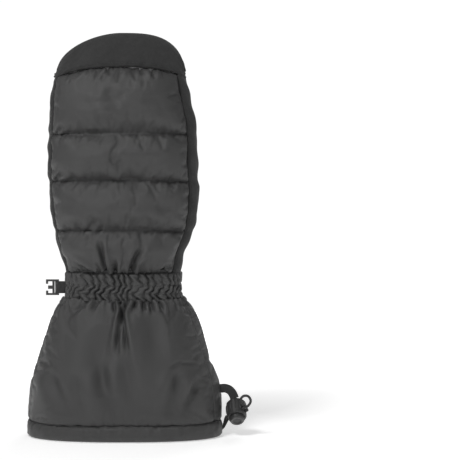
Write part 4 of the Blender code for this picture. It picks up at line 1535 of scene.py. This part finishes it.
    def fold(self, cloth: Cloth, levels: np.ndarray, u: np.ndarray) -> None:
        """Add gathers at the seams and the listed folds."""
        amount = np.zeros(u.shape)
        for number, seam in enumerate(SEAMS[1:]):
            away = seam - levels
            below = Puckers(11 + number, 0.0052, 0.0010, 0.0075, 0.35)(u, np.abs(away)) * (away >= 0)
            above = Puckers(31 + number, 0.0066, 0.0006, 0.0050, -0.25)(u, np.abs(away)) * (away < 0)
            amount += below + (above if number < 3 else 0)
        amount += Puckers(51, 0.0062, 0.0016, 0.0090)(u, np.clip(levels - SEAMS[0], 0, 1))
        x = cloth.points[..., 0]
        z = cloth.points[..., 2]
        for crease in self.creases:
            amount += 1.35 * crease(x, z)
        edge = np.minimum(np.abs(u - u[:, :1]), np.abs(u - u[:, -1:]))
        amount += 0.0004 * Ripple(71, 0.030, stretch=0.6)(u, z) * smooth(0, 0.01, edge)
        cloth.push(amount * smooth(0.0, 0.003, edge))

    def stitch(self, cloth: Cloth, rows: list[int], shop: Workshop, thread: StitchTree) -> None:
        """Sew the quilting lines and the wrist edge."""
        raised = cloth.points + cloth.normals() * 0.00012
        lines = [raised[row] for row in rows[1:-1]]
        lines.append(raised[1])
        item = thread.run("quilting_stitches", lines, shop)
        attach(item, Body.HAND.value)


def in_thumb_hole(points: np.ndarray, wide: float, high: float) -> np.ndarray:
    """Return which points lie in the palm's opening for the thumb.

    Args:
        points: Points in the last axis.
        wide: Half width of the opening.
        high: Half height of the opening.

    Returns:
        True inside the opening, whose corners are rounded.
    """
    x, z = THUMB_HOLE
    across = np.abs((points[..., 0] - x) / wide) ** 4
    up = np.abs((points[..., 2] - z) / high) ** 4
    return across + up < 1


@dataclass
class SoftshellHand:
    """The cap, the side strips and the palm, all of softshell."""

    step: float = 0.0015

    def make(self, shop: Workshop, thread: StitchTree) -> None:
        """Build the softshell pieces."""
        self.cap(shop, thread)
        little = (math.pi - angle_at(PALM_EDGE), math.pi + angle_at(BACK_LITTLE_EDGE))
        thumb = (-angle_at(BACK_THUMB_EDGE), angle_at(PALM_EDGE))
        self.gusset("thumb_side_gusset", thumb, 21, shop, thread)
        self.gusset("little_finger_side_gusset", little, 22, shop, thread)
        self.palm(shop, thread)

    def cap(self, shop: Workshop, thread: StitchTree) -> None:
        """Make the cap that folds over the fingertips and down on to the palm."""
        count = 168
        across, deep = section(0, math.tau, count, 0.42)
        across, deep = across[:-1][None, :], deep[:-1][None, :]
        lower = list(np.linspace(OVERLAY_SEAM, SEAMS[-1], 31)[:-1])
        upper = TIP - (TIP - SEAMS[-1]) * (1 - np.linspace(0, 1, 27)) ** 1.6
        levels = np.array([*lower, *upper])[:, None]
        cloth = Cloth(HAND.point(across, deep, levels), ring=True)
        u, _ = cloth.flat()
        u = u[:, :-1]
        fade = 1 - smooth(TIP - 0.004, TIP, levels)
        edge = -0.0012 * np.exp(-(((levels - SEAMS[-1]) / 0.0014) ** 2)) * (deep < 0)
        back_wave = 0.0005 * Ripple(41, 0.026)(u, levels) + 0.00025 * Ripple(42, 0.009)(u, levels)
        lift = 0.0006 * (deep > 0)
        gathers = Puckers(43, 0.0070, 0.0005, 0.008)(u, levels - SEAMS[-1]) * (deep < 0)
        cloth.push((back_wave + edge + lift + gathers) * fade)
        edge_share = rounded(np.cos(angle_at(PALM_EDGE)))
        on_palm = (deep > 0) & (np.abs(across) <= edge_share)
        keep = (levels[:-1] >= SEAMS[-1] - 1e-6) | on_palm
        item = shop.sew("fingertip_cap_softshell", cloth, SOFTSHELL, keep=keep, weld=True)
        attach(item, Body.HAND.value)
        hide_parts("fingertip_cap")
        raised = cloth.points + cloth.normals() * 0.00016
        back_line = raised[32][(deep[0] < 0) & (np.abs(across[0]) < 0.88)]
        palm_line = raised[2][on_palm[0]]
        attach(thread.run("cap_stitches", [back_line, palm_line], shop), Body.HAND.value)

    def gusset(
        self,
        name: str,
        span: tuple[float, float],
        seed: int,
        shop: Workshop,
        thread: StitchTree,
    ) -> None:
        """Make one side strip.

        Args:
            name: Name of the node that it stands for.
            span: First and last section angle.
            seed: Seed of its unevenness.
            shop: The workshop.
            thread: The stitch maker.
        """
        across, deep = section(span[0], span[1], 26, 0.5)
        levels = np.linspace(SEAMS[0], SEAMS[-1] + 0.0006, 140)[:, None]
        cloth = Cloth(HAND.point(across[None, :], deep[None, :], levels))
        u, _ = cloth.flat()
        share = np.linspace(0, 1, 27)[None, :]
        edge = np.minimum(share, 1 - share) * 0.036
        amount = -0.0013 * np.exp(-((edge / 0.0016) ** 2))
        amount = amount + 0.0005 * Ripple(seed, 0.018)(u, levels) * smooth(0, 0.006, edge)
        back_side = share if deep[0] < deep[-1] else 1 - share
        for seam in SEAMS[1:-1]:
            notch = 0.0009 * np.exp(-(((levels - seam) / 0.0030) ** 2))
            amount = amount - notch * (1 - smooth(0.1, 0.8, back_side))
        amount = amount + Puckers(seed + 5, 0.0060, 0.0007, 0.010)(u, levels - SEAMS[0])
        cloth.push(amount)
        item = shop.sew(name + "_softshell", cloth, SOFTSHELL)
        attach(item, Body.HAND.value)
        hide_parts(name)
        raised = cloth.points + cloth.normals() * 0.00014
        lines = [raised[2:-2, 2], raised[2:-2, -3]]
        stitches = thread.run(name + "_stitches", lines, shop, Spacing=0.0034, Length=0.0020)
        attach(stitches, Body.HAND.value)

    def palm(self, shop: Workshop, thread: StitchTree) -> None:
        """Make the palm, open where the thumb grows out of it."""
        across, deep = section(angle_at(PALM_EDGE), math.pi - angle_at(PALM_EDGE), 84, 0.45)
        levels = np.linspace(SEAMS[0], OVERLAY_SEAM + 0.0006, 92)[:, None]
        cloth = Cloth(HAND.point(across[None, :], deep[None, :], levels))
        u, _ = cloth.flat()
        share = np.linspace(0, 1, 85)[None, :]
        edge = np.minimum(share, 1 - share) * 0.110
        amount = -0.0012 * np.exp(-((edge / 0.0016) ** 2))
        wave = 0.0007 * Ripple(61, 0.040)(u, levels) + 0.0003 * Ripple(62, 0.012)(u, levels)
        amount = amount + wave * smooth(0, 0.006, edge)
        amount = amount + Puckers(63, 0.0065, 0.0011, 0.012)(u, levels - SEAMS[0])
        amount = amount - 0.0006 * np.exp(-(((levels - OVERLAY_SEAM) / 0.0015) ** 2))
        cloth.push(amount)
        inside = in_thumb_hole(cloth.points[:-1, :-1], 0.0120, 0.0215)
        item = shop.sew("palm_softshell", cloth, SOFTSHELL, keep=~inside)
        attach(item, Body.HAND.value)
        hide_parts("palm_panel")


@dataclass
class Thumb:
    """The thumb: nylon on the outside, softshell towards the palm, lined and padded."""

    edge: float = 0.36
    bend: tuple = ((0.0345, 0.0330, 0.1880), (0.0345, 0.0520, 0.2360))
    creases: tuple[Crease, ...] = (
        Crease(
            ((0.0060, 0.1620), (0.0180, 0.1830), (0.0260, 0.2000), (0.0180, 0.2080)),
            0.0018,
            0.0020,
            0.15,
            0.45,
        ),
        Crease(((0.0440, 0.1540), (0.0400, 0.1600), (0.0330, 0.1680)), 0.0016, 0.0016, 0.05, 0.6),
        Crease(((0.0330, 0.2890), (0.0325, 0.2820), (0.0340, 0.2740)), 0.0010, 0.0014, 0.05, 0.6),
        Crease(((0.0250, 0.2880), (0.0262, 0.2830), (0.0250, 0.2770)), 0.0008, 0.0012, 0.05, 0.6),
    )

    def sheet(
        self,
        first: float,
        last: float,
        count: int,
        inset: float = 0.0,
        rows: int = 96,
    ) -> tuple[Cloth, np.ndarray]:
        """Return part of the thumb as a sheet, with each row's place along the thumb.

        Args:
            first: First section angle.
            last: Last section angle; a whole turn makes a tube.
            count: Number of steps round.
            inset: Distance in from the outer face.
            rows: Number of rows from the palm to the tip.

        Returns:
            The sheet, and each point's place along the thumb.
        """
        base = np.linspace(0.10, 1, rows // 2)[:-1]
        share = np.concatenate([base, np.linspace(1, 2, rows // 2 + 1)])[:, None]
        whole = last - first >= math.tau - 1e-6
        angle = np.linspace(first, last, count + 1)[None, :]
        angle = angle[:, :-1] if whole else angle
        share = share + 0 * angle
        points = THUMB.point(angle + 0 * share, share, inset)
        return Cloth(points, THUMB.core(share), ring=whole), share

    def make(self, shop: Workshop, thread: StitchTree) -> None:
        """Build, settle and dress the thumb."""
        bend = tuple(Vector(place) + shop.origin for place in self.bend)
        outer, share = self.sheet(-0.10, math.pi - self.edge, 62)
        u, _ = outer.flat()
        side = np.linspace(0, 1, 63)[None, :]
        rim = np.minimum(side, 1 - side) * 0.066
        tuck = -0.0010 * np.exp(-((rim / 0.0016) ** 2))
        tuck = tuck + 0.0012 * np.sin(math.pi * side) ** 0.5 * (1 - smooth(1.8, 2, share))
        outer.push(tuck + 0.0003 * Ripple(81, 0.011)(u, share * 0.07) * (1 - smooth(1.9, 2, share)))
        held = np.zeros(share.shape, bool)
        held[[0, -1], :] = True
        held[:, [0, -1]] = True
        Settling(growth=0.035, pressure=2.2, bending=0.25, reach=0.0035).run(outer, held)
        amount = Puckers(82, 0.0058, 0.0008, 0.006)(outer.points[..., 2], rim + 0 * share)
        for crease in self.creases:
            amount += crease(outer.points[..., 0], outer.points[..., 2])
        amount += Puckers(83, 0.0052, 0.0009, 0.010)(u, (2 - share) * 0.083)
        outer.push(amount * (1 - smooth(1.93, 2, share)) * smooth(0, 0.003, rim))
        nylon = shop.sew("thumb_nylon", outer, NYLON)
        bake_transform(nylon)
        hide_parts("thumb_outer_panel", "thumb_base")
        inner, share = self.sheet(math.pi - self.edge, math.tau - 0.10, 62)
        u, _ = inner.flat()
        tuck = -0.0010 * np.exp(-((rim / 0.0016) ** 2))
        tuck = tuck + 0.0004 * Ripple(84, 0.014)(u, share * 0.08) * smooth(0, 0.005, rim)
        inner.push(tuck * (1 - smooth(1.9, 2, share)))
        soft = shop.sew("thumb_softshell", inner, SOFTSHELL)
        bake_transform(soft)
        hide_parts("thumb_inner_panel")
        line = (inner.points + inner.normals() * 0.00014)[3:-6, 2]
        seam = thread.run("thumb_stitches", [line], shop, Spacing=0.0032)
        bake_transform(seam)
        self.inside(shop, bend)

    def inside(self, shop: Workshop, bend: tuple[Vector, Vector]) -> None:
        """Make the thumb's wadding and lining."""
        layers = (
            ("thumb_wadding", 0.0030, 0.0012, PADDING, ("thumb_padding",)),
            ("thumb_fleece", 0.0046, 0.0010, FLEECE, ("thumb_lining", "thumb_base_lining")),
        )
        for name, inset, thickness, finish, nodes in layers:
            cloth, share = self.sheet(0.0, math.tau, 40, inset, 44)
            u, _ = cloth.flat()
            cloth.push(0.0002 * Ripple(85, 0.010)(u[:, :-1], share * 0.08) * (1 - smooth(1.8, 2, share)))
            item = shop.sew(name, cloth, finish, thickness, weld=True)
            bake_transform(item)
            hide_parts(*nodes)


@dataclass
class GatheredWrist:
    """The elasticated wrist: three bands of slanting pleats."""

    pleats: int = 42
    rows: tuple[float, ...] = (0.1172, 0.1236, 0.1310, 0.1412)
    slant: tuple[float, ...] = (0.55, -0.95, 0.55)
    depth: float = 0.0034

    def bend(self, shop: Workshop) -> tuple[Vector, Vector]:
        """Return two points on the wrist's centre line, one low and one high."""
        return Vector((0, 0, 0.1195)) + shop.origin, Vector((0, 0, 0.1395)) + shop.origin

    def phase(self, turn: np.ndarray, height: np.ndarray) -> np.ndarray:
        """Return the place among the pleats at a turn of 0 to 1 round the wrist."""
        lean = Profile(self.rows, tuple(np.concatenate([[0], np.cumsum(self.slant)])))
        knots = np.array(self.rows)
        straight = np.interp(height, knots, np.concatenate([[0], np.cumsum(self.slant)]))
        jitter = 0.22 * np.sin(math.tau * (5 * turn + 0.3)) + 0.16 * np.sin(math.tau * (11 * turn + 0.7))
        jitter = jitter + 0.12 * np.sin(math.tau * 17 * turn + height * 900)
        return self.pleats * turn + 0.75 * straight + 0.25 * lean(height) + jitter

    def relief(self, turn: np.ndarray, height: np.ndarray) -> np.ndarray:
        """Return the pleats' height: round ridges between sharp creases, flatter at the seams."""
        ridge = np.abs(np.sin(math.pi * self.phase(turn, height))) ** 0.55
        flat = np.ones(np.shape(height))
        for seam in self.rows[1:-1]:
            flat = flat - 0.35 * np.exp(-(((height - seam) / 0.0011) ** 2))
        lean = np.sin(math.tau * (3 * turn + height * 30))
        high = 1 + 0.35 * np.sin(math.tau * (7 * turn + 0.1)) * lean
        beside_clip = 0.85 * np.exp(-(((turn - 0.5) / 0.016) ** 2))
        return self.depth * (ridge - 0.62) * flat * high * (1 - beside_clip)

    def make(self, shop: Workshop) -> None:
        """Build the pleated nylon, the elastic under it and the lining."""
        count = 600
        across, deep = section(0, math.tau, count, 0.55)
        across, deep = across[:-1][None, :], deep[:-1][None, :]
        turn = (np.arange(count) / count)[None, :]
        levels = np.linspace(self.rows[0] - 0.0012, self.rows[-1] + 0.0030, 52)[:, None]
        cloth = Cloth(CUFF.wrist_point(across, deep, levels), ring=True)
        rise = np.clip((levels - self.rows[0]) / (self.rows[-1] - self.rows[0]), 0, 1)
        bulge = 0.0006 * np.sin(math.pi * rise)
        pulled = 0.0
        for seam in self.rows[1:-1]:
            pulled = pulled - 0.0005 * np.exp(-(((levels - seam) / 0.0010) ** 2))
        foot = smooth(self.rows[0] - 0.0012, self.rows[0] + 0.0008, levels)
        tucked = smooth(0.1400, 0.1425, levels) + 1 - foot
        raised = (self.relief(turn, levels + 0 * turn) + bulge) * (1 - 0.9 * tucked)
        cloth.push(raised + pulled - 0.0020 * tucked)
        item = shop.sew("wrist_gathers", cloth, NYLON, 0.0007)
        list(self.bend(shop))
        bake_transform(item)
        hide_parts("wrist_sleeve")
        for name, low, high, inset, finish in (
            ("wrist_elastic_lower", 0.1195, 0.1290, 0.0036, ELASTIC),
            ("wrist_elastic_upper", 0.1302, 0.1400, 0.0036, ELASTIC),
            ("wrist_lining", 0.1175, 0.1425, 0.0052, FLEECE),
        ):
            band = np.linspace(low, high, 12)[:, None]
            layer = Cloth(CUFF.wrist_point(across[:, ::5], deep[:, ::5], band, inset), ring=True)
            layer.push(0.0002 * np.sin(math.tau * 30 * turn[:, ::5] + 0 * band))
            piece = shop.sew(name + "_band", layer, finish, 0.0009)
            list(self.bend(shop))
            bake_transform(piece)
            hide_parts(name)


@dataclass
class Cuff:
    """The flared gauntlet: two nylon panels, a folded hem, wadding, lining and a blank label."""

    wrist: GatheredWrist
    seam: float = 0.0125
    back_creases: tuple[Crease, ...] = (
        Crease(
            ((-0.0020, 0.1190), (-0.0012, 0.1120), (-0.0024, 0.0980), (-0.0050, 0.0700)),
            0.0038,
            0.0013,
            0.02,
            0.45,
        ),
        Crease(
            ((0.0030, 0.1180), (0.0000, 0.1090), (0.0014, 0.0960), (0.0050, 0.0700)),
            0.0034,
            0.0013,
            0.05,
            0.45,
        ),
        Crease(((-0.0080, 0.1180), (-0.0062, 0.1110), (-0.0050, 0.1050)), 0.0020, 0.0012, 0.02, 0.6),
        Crease(((0.0110, 0.1180), (0.0085, 0.1130), (0.0070, 0.1080)), 0.0018, 0.0011, 0.02, 0.6),
        Crease(((0.0170, 0.1180), (0.0180, 0.1120), (0.0185, 0.1070)), 0.0018, 0.0011, 0.02, 0.6),
        Crease(((0.0230, 0.1180), (0.0245, 0.1120), (0.0260, 0.1060)), 0.0018, 0.0012, 0.02, 0.6),
        Crease(((0.0300, 0.1180), (0.0330, 0.1120), (0.0345, 0.1080)), 0.0014, 0.0012, 0.02, 0.6),
        Crease(((-0.0300, 0.1185), (-0.0400, 0.1110), (-0.0500, 0.1020)), 0.0024, 0.0017, 0.02, 0.6),
        Crease(((-0.0360, 0.1190), (-0.0430, 0.1140), (-0.0490, 0.1100)), 0.0016, 0.0013, 0.02, 0.6),
        Crease(((-0.0220, 0.1180), (-0.0250, 0.1130), (-0.0290, 0.1090)), 0.0014, 0.0012, 0.02, 0.6),
        Crease(
            ((0.0010, 0.0800), (0.0030, 0.0620), (0.0060, 0.0400), (0.0150, 0.0180)),
            0.0020,
            0.0048,
            0.3,
            0.5,
        ),
        Crease(((-0.0190, 0.0700), (-0.0150, 0.0480), (-0.0040, 0.0170)), 0.0019, 0.0042, 0.3, 0.4),
        Crease(((-0.0640, 0.0620), (-0.0530, 0.0400), (-0.0420, 0.0180)), 0.0024, 0.0044, 0.3, 0.4),
        Crease(((-0.0420, 0.0600), (-0.0380, 0.0400), (-0.0300, 0.0200)), 0.0016, 0.0040, 0.3, 0.4),
        Crease(((0.0480, 0.0640), (0.0460, 0.0420), (0.0350, 0.0170)), 0.0028, 0.0042, 0.3, 0.4),
        Crease(((0.0660, 0.0560), (0.0580, 0.0360), (0.0490, 0.0180)), 0.0024, 0.0032, 0.3, 0.4),
    )
    palm_creases: tuple[Crease, ...] = (
        Crease(((0.0040, 0.1185), (0.0060, 0.1080), (0.0100, 0.0880)), 0.0030, 0.0014, 0.02, 0.6),
        Crease(((-0.0060, 0.1185), (-0.0070, 0.1100), (-0.0110, 0.0960)), 0.0024, 0.0013, 0.02, 0.6),
        Crease(((-0.0200, 0.1185), (-0.0240, 0.1100), (-0.0300, 0.0980)), 0.0022, 0.0013, 0.02, 0.6),
        Crease(((0.0180, 0.1185), (0.0210, 0.1100), (0.0270, 0.1010)), 0.0022, 0.0013, 0.02, 0.6),
        Crease(((0.0330, 0.1185), (0.0390, 0.1120), (0.0460, 0.1060)), 0.0018, 0.0014, 0.02, 0.6),
        Crease(((-0.0350, 0.1185), (-0.0410, 0.1110), (-0.0480, 0.1040)), 0.0020, 0.0014, 0.02, 0.6),
        Crease(((0.0080, 0.0820), (0.0000, 0.0600), (-0.0160, 0.0320)), 0.0015, 0.0050, 0.3, 0.5),
        Crease(((-0.0420, 0.0760), (-0.0520, 0.0520), (-0.0560, 0.0260)), 0.0014, 0.0045, 0.3, 0.5),
        Crease(((0.0380, 0.0780), (0.0480, 0.0560), (0.0560, 0.0280)), 0.0014, 0.0045, 0.3, 0.5),
    )

    def make(self, shop: Workshop, thread: StitchTree) -> None:
        """Build the whole cuff."""
        near = 0.330
        self.panel(Side.BACK_OF_HAND, math.pi + 0.16, math.tau - near, shop)
        self.panel(Side.PALM, -near, math.pi + 0.16, shop)
        self.hem(shop, thread)
        self.inside(shop)

    def panel(self, side: Side, start: float, end: float, shop: Workshop) -> None:
        """Build, settle, fold and dress one panel."""
        back = side is Side.BACK_OF_HAND
        columns = 128 if back else 140
        across, deep = section(start, end, columns, 0.5)
        across, deep = across[None, :], deep[None, :]
        levels = np.linspace(self.seam - 0.0015, CUFF_TOP + 0.0006, 82)[:, None]
        cloth = Cloth(CUFF.point(across, deep, levels))
        share = np.linspace(0, 1, columns + 1)[None, :]
        edge = np.minimum(share, 1 - share) * 0.16
        u, _ = cloth.flat()
        fan = u / np.abs(u[:, -1:]) * 0.08
        drape = 0.0021 * Ripple(91 if back else 95, 0.034, stretch=3.0)(fan, levels)
        middle = np.sin(math.pi * np.clip((levels - self.seam) / (CUFF_TOP - self.seam), 0, 1)) ** 0.6
        tuck = -0.0018 * np.exp(-((edge / 0.0016) ** 2))
        cloth.push(drape * middle * smooth(0, 0.032, edge) + tuck + 0.0010 * middle)
        held = np.zeros(cloth.points.shape[:2], bool)
        held[[0, -1], :] = True
        held[:, [0, -1]] = True
        Settling(growth=0.022, pressure=1.2, bending=0.5, reach=0.0040).run(cloth, held)
        down = np.clip(CUFF_TOP - levels, 0, 1)
        angle = np.arctan2(cloth.points[..., 1] * 2, cloth.points[..., 0]) / math.tau % 1
        gather = self.wrist.relief(angle, np.full_like(angle, self.wrist.rows[0]))
        uneven = 0.5 + 0.5 * Ripple(93, 0.020)(u[-1:, :] + 0 * u, 0 * u)
        amount = gather * np.exp(-down / (0.0030 + 0.0050 * np.abs(uneven)))
        amount = amount + Puckers(94 if back else 97, 0.0064, 0.0015, 0.0140)(u * 0.8, down)
        for crease in self.back_creases if back else self.palm_creases:
            amount = amount + 1.5 * crease(cloth.points[..., 0], cloth.points[..., 2])
        amount = amount + Puckers(96, 0.0040, 0.0009, 0.0055, 0.3)(u, levels - self.seam)
        amount = amount - 0.0016 * np.exp(-(((levels - self.seam - 0.0008) / 0.0013) ** 2))
        cloth.push(amount * smooth(0, 0.004, edge + 0.0012))
        item = shop.sew(f"cuff_{side.value}_nylon", cloth, NYLON)
        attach(item, Body.CUFF.value)
        node = "cuff_back_of_hand_panel" if back else "cuff_palm_side_panel"
        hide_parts(node)

    def hem(self, shop: Workshop, thread: StitchTree) -> None:
        """Make the folded hem that the drawcord runs in."""
        count = 300
        gap = 0.105
        across, deep = section(gap, math.tau - gap, count, 0.5)
        outline = (
            (0.0000, 0.0136), (-0.0006, 0.0126), (-0.0014, 0.0108), (-0.0018, 0.0080), (-0.0018, 0.0050),
            (-0.0014, 0.0022), (-0.0002, 0.0004), (0.0020, 0.0000), (0.0050, 0.0000), (0.0070, 0.0006),
            (0.0078, 0.0022), (0.0080, 0.0060), (0.0078, 0.0100), (0.0072, 0.0130), (0.0040, 0.0134),
            (0.0000, 0.0136),
        )
        rows = []
        for inset, height in outline:
            rows.append(CUFF.point(across, deep, np.full_like(across, height), inset))
        points = np.array(rows)
        ring = np.array([CUFF.point(across, deep, np.full_like(across, 0.007), 0.003)])
        cloth = Cloth(points, ring + 0 * points)
        u, _ = cloth.flat()
        inset = np.array([p[0] for p in outline])[:, None]
        height = np.array([p[1] for p in outline])[:, None]
        outside = inset < 0.001
        top = np.clip(0.0136 - height, 0, 1)
        amount = Puckers(101, 0.0050, 0.0009, 0.0060, 0.2)(u, top) * outside
        amount = amount + 0.0004 * Ripple(102, 0.012)(u, height) * (height > 0.001) * outside
        cloth.push(amount)
        cloth.points[..., 2] = np.maximum(cloth.points[..., 2], 0.0)
        mesh = cloth.mesh(None, shop.origin)
        turn_out(mesh, weld=0.00001)
        item = shop.finished("hem_channel_nylon", mesh, NYLON)
        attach(item, Body.CUFF.value)
        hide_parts("hem_channel")
        line = (cloth.points + cloth.normals() * 0.00016)[1]
        inner = (cloth.points + cloth.normals() * 0.00016)[12]
        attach(thread.run("hem_stitches", [line, inner], shop, Spacing=0.0032), Body.CUFF.value)

    def inside(self, shop: Workshop) -> None:
        """Make the cuff's wadding, its fleece and the label."""
        across, deep = section(0, math.tau, 150, 0.55)
        across, deep = across[:-1][None, :], deep[:-1][None, :]
        levels = np.linspace(0.0068, CUFF_TOP - 0.0005, 40)[:, None]
        for name, inset, thickness, finish, node in (
            ("cuff_wadding", 0.0040, 0.0010, PADDING, "cuff_padding"),
            ("cuff_fleece", 0.0060, 0.0010, FLEECE, "cuff_lining"),
        ):
            cloth = Cloth(CUFF.point(across, deep, levels, inset), ring=True)
            u, _ = cloth.flat()
            cloth.push(-0.0004 * np.abs(Ripple(111, 0.022)(u[:, :-1], levels)))
            item = shop.sew(name, cloth, finish, thickness)
            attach(item, Body.CUFF.value)
            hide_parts(node)
        angle = 1.95 + 0.34 * np.linspace(0, 1, 14)[None, :]
        rows = np.linspace(0.058, 0.078, 16)[:, None]
        label = Cloth(CUFF.point(rounded(np.cos(angle)), rounded(np.sin(angle)), rows, 0.0080))
        curl = -0.0005 * np.sin(math.pi * (rows - 0.058) / 0.020)
        label.push(curl - 0.0002 * Ripple(112, 0.012)(angle * 0.05, rows))
        item = shop.sew("care_label_blank", label, LABEL, 0.0003)
        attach(item, Body.CUFF.value)
        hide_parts("care_label")


@dataclass
class HandInside:
    """The hidden layers of the hand: wadding, membrane and fleece."""

    def make(self, shop: Workshop) -> None:
        """Build the three layers as bags that close at the fingertips."""
        across, deep = section(0, math.tau, 140, 0.45)
        across, deep = across[:-1][None, :], deep[:-1][None, :]
        for name, inset, thickness, finish, nodes in (
            ("hand_wadding", 0.0044, 0.0010, PADDING, ("back_padding", "palm_padding")),
            ("membrane_film_bag", 0.0058, 0.0003, MEMBRANE, ("membrane_insert",)),
            ("hand_fleece", 0.0066, 0.0010, FLEECE, ("hand_lining",)),
        ):
            top = TIP - inset - (TIP - inset - SEAMS[-1]) * (1 - np.linspace(0, 1, 14)) ** 1.6
            levels = np.array([*np.linspace(SEAMS[0], SEAMS[-1], 60)[:-1], *top])[:, None]
            cloth = Cloth(HAND.point(across, deep, levels, inset), ring=True)
            points = cloth.points[:-1]
            hole = in_thumb_hole(points, 0.0140, 0.0235)
            item = shop.sew(name, cloth, finish, thickness, keep=~(hole & (deep > 0)), weld=True)
            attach(item, Body.HAND.value)
            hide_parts(*nodes)


def main() -> None:
    """Build the looks of the mitten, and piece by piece."""
    logging.basicConfig(level=logging.INFO, format="%(message)s")
    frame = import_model()
    shop = Workshop(frame)
    thread = StitchTree()
    toggle = Toggle()
    wrist = GatheredWrist()
    steps = (
        ("camera, lights and floor", lambda: Studio().make(shop.finishes)),
        ("free drawcord", lambda: toggle.cord(shop)),
        ("cord lock and tape", lambda: toggle.make(shop)),
        ("side clip", lambda: ClipTab().make(shop)),
        ("quilted back", lambda: QuiltedBack().make(shop, thread)),
        ("softshell cap, sides and palm", lambda: SoftshellHand().make(shop, thread)),
        ("thumb", lambda: Thumb().make(shop, thread)),
        ("gathered wrist", lambda: wrist.make(shop)),
        ("cuff and hem", lambda: Cuff(wrist).make(shop, thread)),
        ("hidden layers", lambda: HandInside().make(shop)),
    )
    for name, build in steps:
        build()
        LOG.info("made %s", name)


if __name__ == "__main__":
    main()
